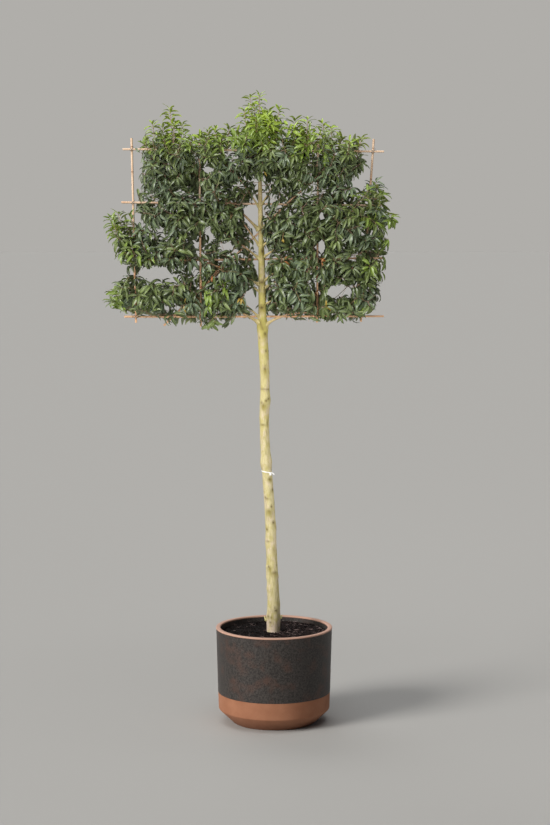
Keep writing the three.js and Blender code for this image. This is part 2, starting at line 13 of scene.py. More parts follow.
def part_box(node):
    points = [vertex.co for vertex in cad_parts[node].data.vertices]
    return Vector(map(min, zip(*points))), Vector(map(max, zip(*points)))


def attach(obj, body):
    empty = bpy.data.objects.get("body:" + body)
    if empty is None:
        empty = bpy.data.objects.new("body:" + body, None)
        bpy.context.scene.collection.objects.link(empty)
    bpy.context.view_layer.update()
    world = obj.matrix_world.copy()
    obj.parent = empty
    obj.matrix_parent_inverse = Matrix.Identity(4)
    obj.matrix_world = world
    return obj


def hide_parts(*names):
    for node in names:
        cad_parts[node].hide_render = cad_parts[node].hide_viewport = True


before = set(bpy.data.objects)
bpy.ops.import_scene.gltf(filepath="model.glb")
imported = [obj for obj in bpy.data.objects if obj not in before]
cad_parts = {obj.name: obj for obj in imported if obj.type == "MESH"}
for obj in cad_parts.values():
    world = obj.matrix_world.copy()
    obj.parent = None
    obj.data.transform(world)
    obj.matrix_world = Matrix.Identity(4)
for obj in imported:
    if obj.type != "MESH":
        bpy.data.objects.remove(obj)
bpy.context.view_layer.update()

# The pot
# Thrown on a wheel from red clay and fired to terracotta. A dark speckled glaze covers the band round its
# outside and its inside wall, and the clay stays bare at the rim and round the chamfered foot.

POT_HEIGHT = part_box("pot")[1].z
RIM, GLAZE_EDGE, CREASE, FOOT = 0.363, 0.352, 0.349, 0.260
GLAZE_EDGE_HEIGHT, CREASE_HEIGHT = 0.190, 0.085
WALL, POT_FLOOR, FOOT_CORNER = 0.026, 0.040, 0.012
BARE_LIP, LIP_PROUD = 0.009, 0.002
PALE_RIM = (0.585, 0.596)
GLAZE_SKIN = 0.0008
POT_STEPS = 144


def linear(colour):
    """An sRGB hex colour as linear red, green, blue and alpha."""
    shares = [int(colour[i:i + 2], 16) / 255 for i in (1, 3, 5)]
    return *[c / 12.92 if c <= 0.04045 else ((c + 0.055) / 1.055) ** 2.4 for c in shares], 1.0


def finish(name, colour, roughness, **sockets):
    """A material with its main shader. Other sockets are named with _ for a space."""
    material = bpy.data.materials.new(name)
    material.use_nodes = True
    shader = material.node_tree.nodes["Principled BSDF"]
    shader.inputs["Base Color"].default_value = linear(colour)
    shader.inputs["Roughness"].default_value = roughness
    for socket, value in sockets.items():
        shader.inputs[socket.replace("_", " ")].default_value = value
    return material, shader


def add_node(material, kind, inputs=None, into=None, **settings):
    """Adds a node. An input takes a plain value, a hex colour or another node's output, and into is the
    node and socket that the new node's first shown output feeds."""
    node = material.node_tree.nodes.new(kind)
    for name, value in settings.items():
        setattr(node, name, value)
    for socket, value in (inputs or {}).items():
        if isinstance(value, bpy.types.NodeSocket):
            material.node_tree.links.new(value, node.inputs[socket])
        else:
            node.inputs[socket].default_value = linear(value) if isinstance(value, str) else value
    if into:
        output = next(socket for socket in node.outputs if socket.enabled)
        material.node_tree.links.new(output, into[0].inputs[into[1]])
    return node


def tinted(material, shader, colour, layers):
    """Paints a shader in a colour, with tints laid over it one after another. A layer names the pattern it
    follows, the pattern's values where the tint starts and is full, its strength there, and the tint."""
    for pattern, start, full, most, tint in layers:
        share = add_node(material, "ShaderNodeMapRange", {
            "Value": pattern, "From Min": start, "From Max": full, "To Max": most})
        mixed = add_node(material, "ShaderNodeMixRGB", {
            "Fac": share.outputs["Result"], "Color1": colour, "Color2": tint})
        colour = mixed.outputs["Color"]
    material.node_tree.links.new(colour, shader.inputs["Base Color"])


def softened(corners, segments=5):
    """Points along a line of (radius, height, softening) corners, each rounded off by its own softening."""
    points = []
    for i, (radius, height, soft) in enumerate(corners):
        here = Vector((radius, height))
        if not soft:
            points.append(here)
            continue
        before, after = (here + (Vector(corners[j][:2]) - here).normalized() * soft for j in (i - 1, i + 1))
        for share in np.linspace(0, 1, segments):
            points.append(before.lerp(here, share).lerp(here.lerp(after, share), share))
    return points


def turned(points, steps):
    """A closed body turned about the upright axis, from a profile that starts and ends on it."""
    bm = bmesh.new()
    verts = [bm.verts.new((point[0], 0, point[1])) for point in points]
    edges = [bm.edges.new(pair) for pair in zip(verts, verts[1:])]
    bmesh.ops.spin(bm, geom=verts + edges, cent=(0, 0, 0), axis=(0, 0, 1), angle=2 * math.pi, steps=steps,
                   use_merge=True)
    bmesh.ops.remove_doubles(bm, verts=bm.verts, dist=1e-6)
    bmesh.ops.recalc_face_normals(bm, faces=bm.faces)
    return bm


def show(name, mesh, finishes, nodes, sharp=40):
    """Shows a finished mesh, or a bmesh, as a piece of the part, in place of the nodes it stands for."""
    if isinstance(mesh, bmesh.types.BMesh):
        source, mesh = mesh, bpy.data.meshes.new(name)
        source.to_mesh(mesh)
        source.free()
    mesh.shade_smooth()
    mesh.set_sharp_from_angle(angle=math.radians(sharp))
    for material in finishes:
        mesh.materials.append(material)
    made = bpy.data.objects.new(name, mesh)
    bpy.context.scene.collection.objects.link(made)
    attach(made, "root")
    if nodes:
        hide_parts(*nodes)


def pot_outside(height):
    """The pot's outer radius at a height."""
    return np.interp(
        height, [0, CREASE_HEIGHT, GLAZE_EDGE_HEIGHT, POT_HEIGHT], [FOOT, CREASE, GLAZE_EDGE, RIM])


def terracotta():
    """Bare fired clay: matt and cloudy from the kiln, paler at the rim, and painted darker below the crease
    as painted shade on the chamfered foot, with faint turning marks and a fine gritty surface."""
    material, shader = finish("terracotta, bare", "#b9805f", 0.82)
    where = add_node(material, "ShaderNodeTexCoord").outputs["Object"]
    height = add_node(material, "ShaderNodeSeparateXYZ", {"Vector": where}).outputs["Z"]
    clouds = add_node(material, "ShaderNodeTexNoise", {"Vector": where, "Scale": 1 / 0.11, "Detail": 5.0})
    grit = add_node(material, "ShaderNodeTexNoise", {"Vector": where, "Scale": 1 / 0.004, "Detail": 4.0})
    # Painted shade: below the crease the clay darkens towards the floor, for the shade on the chamfered
    # foot.
    tinted(material, shader, "#8b5639", [
        (clouds.outputs["Fac"], 0, 1, 1, "#b67f5f"), (height, *PALE_RIM, 0.75, "#cda794"),
        (height, CREASE_HEIGHT, 0, 0.55, "#5f3e2c"), (grit.outputs["Fac"], 0.58, 0.72, 0.35, "#8a5236")])
    rings = add_node(material, "ShaderNodeMapping", {"Vector": where, "Scale": (4.0, 4.0, 180.0)})
    marks = add_node(material, "ShaderNodeTexNoise", {
        "Vector": rings.outputs["Vector"], "Scale": 1.0, "Detail": 3.0})
    low = add_node(material, "ShaderNodeBump", {
        "Height": marks.outputs["Fac"], "Strength": 0.25, "Distance": 0.0015})
    add_node(material, "ShaderNodeBump", {
        "Height": grit.outputs["Fac"], "Strength": 0.3, "Distance": 0.0008, "Normal": low.outputs["Normal"]},
        into=(shader, "Normal"))
    return material


def speckled_glaze():
    """A dark satin glaze full of iron: charcoal, with grains of near black, ash grey and rusty brown."""
    material, shader = finish("glaze, dark speckled", "#4b4642", 0.5, Specular_IOR_Level=0.35)
    where = add_node(material, "ShaderNodeTexCoord").outputs["Object"]
    grain = add_node(material, "ShaderNodeTexNoise", {
        "Vector": where, "Scale": 1 / 0.011, "Detail": 6.0, "Roughness": 0.72}).outputs["Fac"]
    rust = add_node(material, "ShaderNodeTexNoise", {"Vector": where, "Scale": 1 / 0.09, "Detail": 4.0})
    specks = add_node(material, "ShaderNodeTexVoronoi", {"Vector": where, "Scale": 1 / 0.012})
    tinted(material, shader, "#23201e", [
        (grain, 0.36, 0.64, 1, "#4d4743"), (rust.outputs["Fac"], 0.5, 0.72, 0.55, "#5c4034"),
        (specks.outputs["Distance"], 0.3, 0.16, 0.85, "#1f1c1a")])
    add_node(material, "ShaderNodeMapRange", {
        "Value": grain, "From Min": 0.3, "From Max": 0.7, "To Min": 0.42, "To Max": 0.62},
        into=(shader, "Roughness"))
    add_node(material, "ShaderNodeBump", {
        "Height": grain, "Strength": 0.35, "Distance": 0.0015}, into=(shader, "Normal"))
    return material


lip = POT_HEIGHT - BARE_LIP
glaze_start = GLAZE_EDGE_HEIGHT + GLAZE_SKIN
inner_crease = CREASE_HEIGHT + WALL / 2
pot = turned(softened([
    (0, 0, 0), (FOOT - FOOT_CORNER, 0, 0), (FOOT, 0, 0.004), (CREASE, CREASE_HEIGHT, 0.006),
    (GLAZE_EDGE, GLAZE_EDGE_HEIGHT, 0), (pot_outside(glaze_start) + GLAZE_SKIN, glaze_start, 0),
    (pot_outside(lip) + GLAZE_SKIN, lip, 0), (RIM + LIP_PROUD, lip + GLAZE_SKIN, 0.0008),
    (RIM + LIP_PROUD, POT_HEIGHT, 0.005), (RIM - WALL, POT_HEIGHT, 0.006), (pot_outside(lip) - WALL, lip, 0),
    (pot_outside(inner_crease) - WALL, inner_crease, 0.02), (FOOT - WALL / 2, POT_FLOOR, 0.008),
    (0, POT_FLOOR, 0),
]), POT_STEPS)
for face in pot.faces:
    middle = face.calc_center_median()
    outside = math.hypot(middle.x, middle.y) > pot_outside(middle.z) - WALL / 2
    low_end = GLAZE_EDGE_HEIGHT + GLAZE_SKIN / 4 if outside else POT_FLOOR
    face.material_index = int(low_end < middle.z < lip)
show("clay_pot", pot, [terracotta(), speckled_glaze()], ["pot"])

# The compost
# Dark, moist potting compost of peat and bark, filled to just below the rim and settled a little uneven.
# Crumbs, chips of bark and pale curly fibres lie loose in its surface.

COMPOST_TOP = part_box("compost")[1].z
COMPOST_RINGS, COMPOST_STEPS = 64, 220
CLEARANCE = 0.0006
SETTLED, EDGE_DROP, EDGE_FROM, EDGE_WIDTH = 0.002, 0.006, 0.9, 0.1
# The surface's lumps, crumbs and grains: how wide, how high, and a layer of the noise for each.
UNEVEN = [(0.034, 0.0035, 2), (0.011, 0.0030, 5), (0.011 / 3, 0.0014, 9)]
# The loose bits: how many, their least and greatest length, and their finishes out of the painted shade.
BITS = {
    "crumb": (900, 0.003, 0.008, [0, 0, 1]), "chip": (340, 0.006, 0.016, [0, 1, 1, 2]),
    "fibre": (460, 0.014, 0.040, [1, 2, 3, 3])}
BITS_INSIDE, BIT_TILT, BIT_PROUD = 0.012, 0.35, 0.12
CHIP_SHAPE, CHIP_CURL, CHIP_POINT = (1, 0.42, 0.16), (0.12, 2.6), 0.9
FIBRE_RADII, FIBRE_CURL, FIBRE_WAVE = (0.022, 0.014), 2.6, (0.05, 9)
# Painted shade: towards the left, where the pot's rim casts its shadow, more bits take the darkest finish.
SHADE_LIFTS_FROM, SHADE_LIFT_REACH, LEAST_UNSHADED = 0.16, 0.30, 0.30
compost_radius = pot_outside(COMPOST_TOP) - WALL - CLEARANCE

Template = namedtuple("Template", "places corners sizes parts")


def template_of(bm):
    """A small finished shape as arrays: its vertices, its faces' corners, their number, and their slots."""
    bm.verts.index_update()
    made = Template(
        np.array([vert.co for vert in bm.verts]),
        np.array([vert.index for face in bm.faces for vert in face.verts]),
        np.array([len(face.verts) for face in bm.faces]),
        np.array([face.material_index for face in bm.faces]))
    bm.free()
    return made


def copies_mesh(name, sets):
    """One mesh of many copies. Each set holds a template, the copies' vertices (copy, vertex, 3) and their
    faces' slots (copy, face)."""
    first = 0
    corners = []
    for template, places, _ in sets:
        firsts = first + np.arange(len(places))[:, None] * len(template.places)
        corners.append((template.corners + firsts).ravel())
        first += len(places) * len(template.places)
    corners = np.concatenate(corners)
    sizes = np.concatenate([np.tile(template.sizes, len(places)) for template, places, _ in sets])
    mesh = bpy.data.meshes.new(name)
    mesh.vertices.add(first)
    mesh.vertices.foreach_set("co", np.concatenate([places.ravel() for _, places, _ in sets]))
    mesh.loops.add(len(corners))
    mesh.loops.foreach_set("vertex_index", corners.astype(np.int32))
    mesh.polygons.add(len(sizes))
    mesh.polygons.foreach_set("loop_start", (np.cumsum(sizes) - sizes).astype(np.int32))
    slots = np.concatenate([slots.ravel() for _, _, slots in sets])
    mesh.polygons.foreach_set("material_index", slots.astype(np.int32))
    mesh.update(calc_edges=True)
    return mesh


def compost_height(x, y):
    """How high the settled surface lies: lumps, crumbs and grains, and a low edge along the wall."""
    height = COMPOST_TOP - SETTLED
    for wide, high, layer in UNEVEN:
        height += high * noise.noise(Vector((x / wide, y / wide, layer)))
    return height - EDGE_DROP * max(0, math.hypot(x, y) / compost_radius - EDGE_FROM) / EDGE_WIDTH


def moist_compost():
    """Peat and fine bark: rough and dark red brown, and painted nearly black on the left as painted shade,
    where the pot's rim casts its shadow."""
    material, shader = finish("compost, moist", "#2a201c", 0.95, Specular_IOR_Level=0.15)
    where = add_node(material, "ShaderNodeTexCoord").outputs["Object"]
    across = add_node(material, "ShaderNodeSeparateXYZ", {"Vector": where}).outputs["X"]
    crumbs = add_node(material, "ShaderNodeTexNoise", {
        "Vector": where, "Scale": 1 / 0.012, "Detail": 8.0, "Roughness": 0.7}).outputs["Fac"]
    # Painted shade: the left side is darkened nearly to black, for the shadow of the pot's rim.
    tinted(material, shader, "#0b0706", [
        (crumbs, 0.38, 0.66, 1, "#2a1c1a"), (across, 0.08, -0.12, 0.7, "#0a0706")])
    add_node(material, "ShaderNodeBump", {
        "Height": crumbs, "Strength": 0.9, "Distance": 0.004}, into=(shader, "Normal"))
    return material


surface = [(radius, COMPOST_TOP) for radius in np.linspace(compost_radius, 0, COMPOST_RINGS)]
compost = turned([
    (0, POT_FLOOR + CLEARANCE), (FOOT - WALL / 2 - CLEARANCE, POT_FLOOR + CLEARANCE),
    (pot_outside(inner_crease) - WALL - CLEARANCE, inner_crease), *surface,
], COMPOST_STEPS)
for vert in compost.verts:
    if vert.co.z > COMPOST_TOP - 1e-4:
        vert.co.z = compost_height(vert.co.x, vert.co.y)
show("potting_compost", compost, [moist_compost()], ["compost"], sharp=180)


def compost_bit(kind):
    """A crumb of peat, a flat chip of bark or a curly fibre, about 1 long."""
    bm = bmesh.new()
    if kind == "crumb":
        bmesh.ops.create_icosphere(bm, subdivisions=1, radius=0.5)
        for vert in bm.verts:
            vert.co *= 1 + 0.5 * noise.noise(vert.co * 3)
    elif kind == "chip":
        bmesh.ops.create_cube(bm, size=1)
        bmesh.ops.scale(bm, vec=CHIP_SHAPE, verts=bm.verts)
        bmesh.ops.subdivide_edges(bm, edges=[edge for edge in bm.edges if edge.calc_length() > 0.9], cuts=2)
        for vert in bm.verts:
            vert.co.z += CHIP_CURL[0] * math.cos(CHIP_CURL[1] * vert.co.x)
            vert.co.y *= 1 - CHIP_POINT * vert.co.x ** 2
    else:
        bmesh.ops.create_cone(
            bm, cap_ends=True, segments=4, radius1=FIBRE_RADII[0], radius2=FIBRE_RADII[1], depth=1)
        bmesh.ops.rotate(bm, cent=(0, 0, 0), matrix=Matrix.Rotation(math.pi / 2, 3, "Y"), verts=bm.verts)
        bmesh.ops.subdivide_edges(bm, edges=[edge for edge in bm.edges if edge.calc_length() > 0.9], cuts=6)
        for vert in bm.verts:
            bend = FIBRE_CURL * vert.co.x
            vert.co.x = math.sin(bend) / FIBRE_CURL
            vert.co.y += (1 - math.cos(bend)) / FIBRE_CURL
            vert.co.z += FIBRE_WAVE[0] * math.sin(FIBRE_WAVE[1] * vert.co.x)
    return template_of(bm)


def turns_of(tilts, headings):
    """Rotations that tilt a thing about X and then turn it to its heading about Z, one for each pair."""
    ct, st, ch, sh = np.cos(tilts), np.sin(tilts), np.cos(headings), np.sin(headings)
    nought = np.zeros_like(ct)
    return np.stack([ch, -sh * ct, sh * st, sh, ch * ct, -ch * st, nought, st, ct], -1).reshape(-1, 3, 3)


scatter = np.random.default_rng(21)
bit_sets = []
for kind, (count, least, most, unshaded_finishes) in BITS.items():
    bit = compost_bit(kind)
    out = (compost_radius - BITS_INSIDE) * np.sqrt(scatter.uniform(0.02, 1, count))
    heading = scatter.uniform(0, 2 * math.pi, count)
    x, y = out * np.cos(heading), out * np.sin(heading)
    z = np.array([compost_height(*place) for place in zip(x, y)])
    sizes = scatter.uniform(least, most, count)
    rotations = turns_of(scatter.normal(0, BIT_TILT, count), scatter.uniform(0, 2 * math.pi, count))
    moved = np.einsum("nij,vj->nvi", rotations, bit.places) * sizes[:, None, None]
    moved += np.stack([x, y, z + BIT_PROUD * sizes], -1)[:, None, :]
    # Painted shade: further left, fewer bits keep their own finish, and the rest take the darkest one.
    dry_and_unshaded = scatter.random(count) < np.clip((x + SHADE_LIFTS_FROM) / SHADE_LIFT_REACH, LEAST_UNSHADED, 1)
    slots = np.where(dry_and_unshaded, scatter.choice(unshaded_finishes, count), 0)[:, None] + np.zeros(len(bit.sizes), int)
    bit_sets.append((bit, moved, slots))
bit_finishes = [
    finish(name, colour, roughness, Specular_IOR_Level=gloss)[0] for name, colour, roughness, gloss in [
        ("peat crumb", "#110b09", 0.95, 0.15), ("bark chip", "#21150f", 0.85, 0.2),
        ("bark chip, dry", "#3d2b27", 0.85, 0.3), ("fibre, pale", "#9c8681", 0.7, 0.5)]]
show("compost_bits", copies_mesh("compost_bits", bit_sets), bit_finishes, [])

# The trunk
# One straight-grained stem under smooth pale olive bark. Side shoots were cut off it as it grew, and each
# left a swelling with a small brown scar. Above the fork it runs on, thinner, through the crown.

# The trunk's stations: height, middle and thickness.
TRUNK_LINE = np.array([
    [0.5703, -0.005, 0.084], [0.760, -0.005, 0.077], [1.090, -0.017, 0.067], [1.330, -0.027, 0.064],
    [1.830, -0.060, 0.058], [2.165, -0.057, 0.058], [2.450, -0.072, 0.061], [2.540, -0.073, 0.049],
    [2.870, -0.077, 0.042], [3.010, -0.080, 0.034], [3.310, -0.086, 0.027], [3.575, -0.088, 0.013],
])
FORK, FORK_TOP, UPRIGHT = 2.450, 2.540, 0.970
TRUNK_BACK = 0.0319
TRUNK_SIDES, TRUNK_RING = 64, 0.0045
IN_COMPOST = 0.014
KNOT_FROM, KNOT_SPACING, KNOT_SWELL, KNOT_LENGTH, KNOT_SPREAD = 0.170, 0.104, 0.004, 0.026, 0.55
LEAST_SWELL, SPACING_JITTER = 0.4, (0.8, 0.4)
# The collars of old branches and the small humps: height, turn in degrees and swell.
COLLARS = [
    (0.658, 180, 0.005), (0.652, 10, 0.004), (0.950, 200, 0.005), (1.640, 0, 0.007), (1.637, 170, 0.005),
    (2.034, 20, 0.007), (2.486, -3, 0.009), (2.492, 178, 0.006),
]
HUMPS = [(0.983, 168, 0.0035), (0.913, 180, 0.0035), (0.845, 182, 0.003), (0.918, 0, 0.003)]
HUMP_LENGTH = 0.010
# A scar's depth. Its swollen brow and stained halo are measured in half widths and half heights.
SCAR_DEPTH = 0.0020
BROW_WIDE, BROW_RISE, BROW_ARCH, BROW_TALL, BROW_SWELL, BROW_DARK = 1.9, 2.4, 0.45, 0.7, 0.5, 0.4
HALO_WIDE, HALO_DROP, HALO_TALL = 1.9, 1.3, 2.6
# The bark's wrinkles and flutes: their number round the trunk, length along it and depth.
WRINKLES = [(2, 0.012, 0.0005), (1.3, 0.16, 0.0016)]
GOLDEN_TURN = math.pi * (3 - math.sqrt(5))
BACK = np.array([0.0, 1.0, 0.0])
UP = np.array([0.0, 0.0, 1.0])


def seeded(seed):
    """Evenly spread numbers from 0 to 1, drawn by the same rule as in the part's source."""
    state = seed * 2654435761 % 2 ** 32

    def draw():
        nonlocal state
        state = (state * 1664525 + 1013904223) % 2 ** 32
        return state / 2 ** 32
    return draw


def unit(vectors):
    """The same directions, each one long."""
    return vectors / np.linalg.norm(vectors, axis=-1, keepdims=True)


def tube(centres, radius_at, sides, reference=BACK):
    """A closed limb: a grid wrapped round a line of ring centres. radius_at takes the numbers of the rings
    and the turns round the limb, from its right side to its front. Each vertex keeps its place in the limb
    laid out straight, in the attribute straight."""
    closed = np.allclose(centres[0], centres[-1])
    along = np.gradient(centres, axis=0)
    if closed:
        along[0] = along[-1] = centres[1] - centres[-2]
    along = unit(along)
    side = unit(np.cross(reference, along))
    ahead = np.cross(side, along)
    lengths = np.concatenate([[0], np.cumsum(np.linalg.norm(np.diff(centres, axis=0), axis=1))])
    bm = bmesh.new()
    straight = bm.verts.layers.float_vector.new("straight")
    bmesh.ops.create_grid(bm, x_segments=sides, y_segments=len(centres) - 1, size=0.5)
    flat = np.array([vert.co for vert in bm.verts])
    ring = np.rint((flat[:, 1] + 0.5) * (len(centres) - 1)).astype(int)
    turn = (flat[:, 0] + 0.5) * 2 * math.pi
    radius = radius_at(ring, turn)
    right, front = radius * np.cos(turn), radius * np.sin(turn)
    places = centres[ring] + side[ring] * right[:, None] + ahead[ring] * front[:, None]
    for vert, place, *laid in zip(bm.verts, places, right, front, lengths[ring]):
        vert.co = place
        vert[straight] = laid
    bmesh.ops.remove_doubles(bm, verts=bm.verts, dist=1e-7)
    open_edges = [edge for edge in bm.edges if edge.is_boundary]
    if open_edges:
        bmesh.ops.holes_fill(bm, edges=open_edges, sides=0)
    bmesh.ops.recalc_face_normals(bm, faces=bm.faces)
    return bm


def trunk_radius(height):
    """The trunk's plain radius at a height, without its knots and scars."""
    return np.interp(height, TRUNK_LINE[:, 0], TRUNK_LINE[:, 2]) / 2


def trunk_station(height):
    """The middle of the trunk at a height. Above the fork its back stays on the canes."""
    share = np.clip((height - UPRIGHT) / (FORK - UPRIGHT), 0, 1)
    depth = TRUNK_BACK - trunk_radius(np.maximum(height, FORK_TOP))
    across = np.interp(height, TRUNK_LINE[:, 0], TRUNK_LINE[:, 1])
    return np.stack([across, depth * share * share * (3 - 2 * share), height], -1)


def smooth_line(stations, steps=16):
    """A centripetal Catmull-Rom curve through stations."""
    ends = [2 * stations[0] - stations[1], *stations, 2 * stations[-1] - stations[-2]]
    line = []
    for a, b, c, d in zip(ends, ends[1:], ends[2:], ends[3:]):
        before, here, after = (np.linalg.norm(q - p) ** 0.5 for p, q in ((a, b), (b, c), (c, d)))
        leave = ((b - a) / before - (c - a) / (before + here) + (c - b) / here) * here
        arrive = ((c - b) / here - (d - b) / (here + after) + (d - c) / after) * here
        for t in np.arange(steps) / steps:
            line.append(b + leave * t + (3 * (c - b) - 2 * leave - arrive) * t ** 2
                        + (2 * (b - c) + leave + arrive) * t ** 3)
    return np.array([*line, stations[-1]])


trunk_line = smooth_line(trunk_station(TRUNK_LINE[:, 0]))
TRUNK_FOOT, TRUNK_TIP = TRUNK_LINE[0, 0], TRUNK_LINE[-1, 0]


def trunk_middle(height):
    """The middle of the trunk at a height, along its smooth line."""
    across = np.interp(height, trunk_line[:, 2], trunk_line[:, 0])
    return np.stack([across, np.interp(height, trunk_line[:, 2], trunk_line[:, 1]), height], -1)


def trunk_knots():
    """The collars, and the small knots that wind up the clear stem, as (height, turn, swell)."""
    draw = seeded(11)
    knots = [(height, math.radians(degrees), swell) for height, degrees, swell in COLLARS]
    height, count = TRUNK_FOOT + KNOT_FROM, 0
    while height < FORK - KNOT_SPACING:
        knots.append((height, count * GOLDEN_TURN, KNOT_SWELL * (LEAST_SWELL + draw())))
        height += KNOT_SPACING * (SPACING_JITTER[0] + SPACING_JITTER[1] * draw())
        count += 1
    return knots


KNOTS = [(*knot, KNOT_LENGTH) for knot in trunk_knots()]
KNOTS += [(height, math.radians(turn), swell, HUMP_LENGTH) for height, turn, swell in HUMPS]
# The scars on the front: height, turn in degrees, half width, half height, how dark, how far stained olive.
FRONT_SCARS = [
    (0.606, 104, 0.0030, 0.0030, 0.60, 0.0), (0.631, 118, 0.0045, 0.0035, 0.75, 0.5),
    (0.663, 109, 0.0035, 0.0030, 0.60, 0.6), (0.668, 141, 0.0045, 0.0040, 0.80, 0.6),
    (0.707, 66, 0.0055, 0.0040, 0.85, 0.4), (0.723, 76, 0.0030, 0.0050, 0.70, 0.0),
    (0.893, 20, 0.0035, 0.0080, 0.60, 0.5), (0.944, 67, 0.0130, 0.0050, 0.40, 0.7),
    (0.983, 126, 0.0042, 0.0040, 0.95, 0.0), (0.973, 114, 0.0050, 0.0060, 0.15, 0.9),
    (0.993, 32, 0.0025, 0.0070, 0.75, 0.3), (1.031, 42, 0.0022, 0.0110, 0.55, 0.2),
    (1.088, 60, 0.0070, 0.0090, 0.10, 0.6), (1.143, 126, 0.0085, 0.0030, 0.50, 0.3),
    (1.218, 136, 0.0050, 0.0040, 0.90, 0.5), (1.262, 52, 0.0045, 0.0045, 0.95, 0.5),
    (1.363, 67, 0.0042, 0.0045, 0.90, 0.4), (1.335, 98, 0.0085, 0.0070, 0.30, 0.85),
    (1.420, 135, 0.0055, 0.0030, 0.75, 0.4), (1.413, 115, 0.0070, 0.0026, 0.60, 0.5),
    (1.467, 31, 0.0045, 0.0040, 0.85, 0.7), (1.535, 60, 0.0065, 0.0045, 0.60, 0.9),
    (1.875, 115, 0.0095, 0.0032, 0.55, 0.5), (1.886, 48, 0.0025, 0.0080, 0.60, 0.3),
    (1.996, 106, 0.0060, 0.0060, 0.40, 0.9), (2.012, 131, 0.0045, 0.0035, 0.70, 0.4),
    (2.025, 73, 0.0045, 0.0045, 0.85, 0.5), (2.037, 46, 0.0045, 0.0045, 0.80, 0.5),
    (2.095, 60, 0.0180, 0.0026, 0.50, 0.3), (2.097, 120, 0.0180, 0.0026, 0.50, 0.3),
    (2.223, 84, 0.0050, 0.0085, 0.55, 0.9), (2.334, 61, 0.0040, 0.0045, 0.75, 0.5),
    (2.415, 134, 0.0050, 0.0038, 0.60, 0.3), (2.440, 55, 0.0055, 0.0050, 0.80, 0.7),
    (2.470, 84, 0.0065, 0.0050, 0.50, 0.4), (2.480, 92, 0.0065, 0.0055, 0.50, 0.5),
    (2.490, 101, 0.0065, 0.0055, 0.50, 0.6), (2.500, 110, 0.0065, 0.0060, 0.55, 0.6),
    (2.511, 120, 0.0065, 0.0065, 0.60, 0.6), (2.603, 96, 0.0085, 0.0065, 0.95, 0.9),
    (2.759, 90, 0.0095, 0.0060, 0.90, 0.9), (2.949, 66, 0.0070, 0.0085, 0.95, 0.9),
    (3.083, 82, 0.0070, 0.0080, 0.95, 0.9),
]
SCARS = [(height, math.radians(turn), *rest) for height, turn, *rest in FRONT_SCARS]
# Every knot behind has a scar too, all alike.
BACK_SCAR = (0.0050, 0.0045, 0.85, 0.5)
SCARS += [(height, turn, *BACK_SCAR) for height, turn, *_ in KNOTS if math.sin(turn) < -0.2]


def apart(turn, other):
    """How far a turn lies from another one, the short way round."""
    return np.arctan2(np.sin(turn - other), np.cos(turn - other))


def trunk_surface(height, turn):
    """The trunk's radius, how dark a scar lies there and how far the bark round it is stained, for heights
    and turns round it. Bark arches over each scar like a brow."""
    radius = trunk_radius(np.maximum(height, TRUNK_FOOT))
    bare = radius.copy()
    scarred, stained = np.zeros_like(radius), np.zeros_like(radius)
    for at, knot_turn, swell, length in KNOTS:
        away = apart(turn, knot_turn)
        radius += swell * np.exp(-((away / KNOT_SPREAD) ** 2 + ((height - at) / length) ** 2) / 2)
    for at, scar_turn, wide, tall, dark, stain in SCARS:
        away = apart(turn, scar_turn) * bare / wide
        along = (height - at) / tall
        hollow = np.exp(-(away ** 2 + along ** 2) / 2)
        arch = (along - BROW_RISE + BROW_ARCH * away ** 2) / BROW_TALL
        brow = np.exp(-((away / BROW_WIDE) ** 2 + arch ** 2) / 2)
        halo = np.exp(-((away / HALO_WIDE) ** 2 + ((along + HALO_DROP) / HALO_TALL) ** 2) / 2)
        radius += SCAR_DEPTH * (BROW_SWELL * brow - hollow)
        scarred = np.maximum(scarred, dark * np.maximum(hollow, BROW_DARK * brow))
        stained = np.maximum(stained, stain * halo)
    return radius, scarred, stained


def olive_bark():
    """Smooth living bark: pale buff low down and olive at the fork, clouded with green, pink and grey
    patches as wide as a thumb, finely streaked, crossed by breathing pores, and brown at the scars."""
    material, shader = finish("laurel bark, olive", "#c3b788", 0.75)
    laid = add_node(material, "ShaderNodeAttribute", attribute_name="straight").outputs["Vector"]
    where = add_node(material, "ShaderNodeTexCoord").outputs["Object"]
    height = add_node(material, "ShaderNodeSeparateXYZ", {"Vector": where}).outputs["Z"]
    layers = [
        (height, 1.7, 2.7, 1.0, "#bcb06c"), (height, 2.24, 2.42, 0.8, "#b5aa54"),
        (height, 2.60, 2.75, 0.6, "#bfb372"), (height, 3.0, 3.3, 0.8, "#cbb48c"),
        (height, 0.70, 0.61, 0.9, "#d8c3b2")]
    for round_it, along, shift, *rest in [
            (24.0, 17.0, 3.1, 0.50, 0.62, 0.45, "#d6c1b0"), (30.0, 22.0, 7.7, 0.52, 0.66, 0.6, "#b8aa60"),
            (40.0, 11.0, 0.0, 0.50, 0.70, 0.5, "#a89c55"), (190.0, 22.0, 5.3, 0.50, 0.68, 0.45, "#8f8150"),
            (130.0, 520.0, 0.0, 0.62, 0.74, 0.55, "#80704a")]:
        stretched = add_node(material, "ShaderNodeMapping", {
            "Vector": laid, "Location": (shift, shift, shift), "Scale": (round_it, round_it, along)})
        pattern = add_node(material, "ShaderNodeTexNoise", {
            "Vector": stretched.outputs["Vector"], "Scale": 1.0, "Detail": 3.0}).outputs["Fac"]
        layers.append((pattern, *rest))
    for attribute, tint in [("stain", "#8f8238"), ("scar", "#54401f")]:
        share = add_node(material, "ShaderNodeAttribute", attribute_name=attribute).outputs["Fac"]
        layers.append((share, 0, 1, 1, tint))
    tinted(material, shader, "#cec292", layers)
    add_node(material, "ShaderNodeBump", {
        "Height": pattern, "Strength": 0.5, "Distance": 0.0012}, into=(shader, "Normal"))
    return material


trunk_heights = np.arange(TRUNK_FOOT - IN_COMPOST, TRUNK_TIP + TRUNK_RING / 2, TRUNK_RING)
trunk_centres = trunk_middle(np.maximum(trunk_heights, TRUNK_FOOT))
trunk_centres[:, 2] = trunk_heights


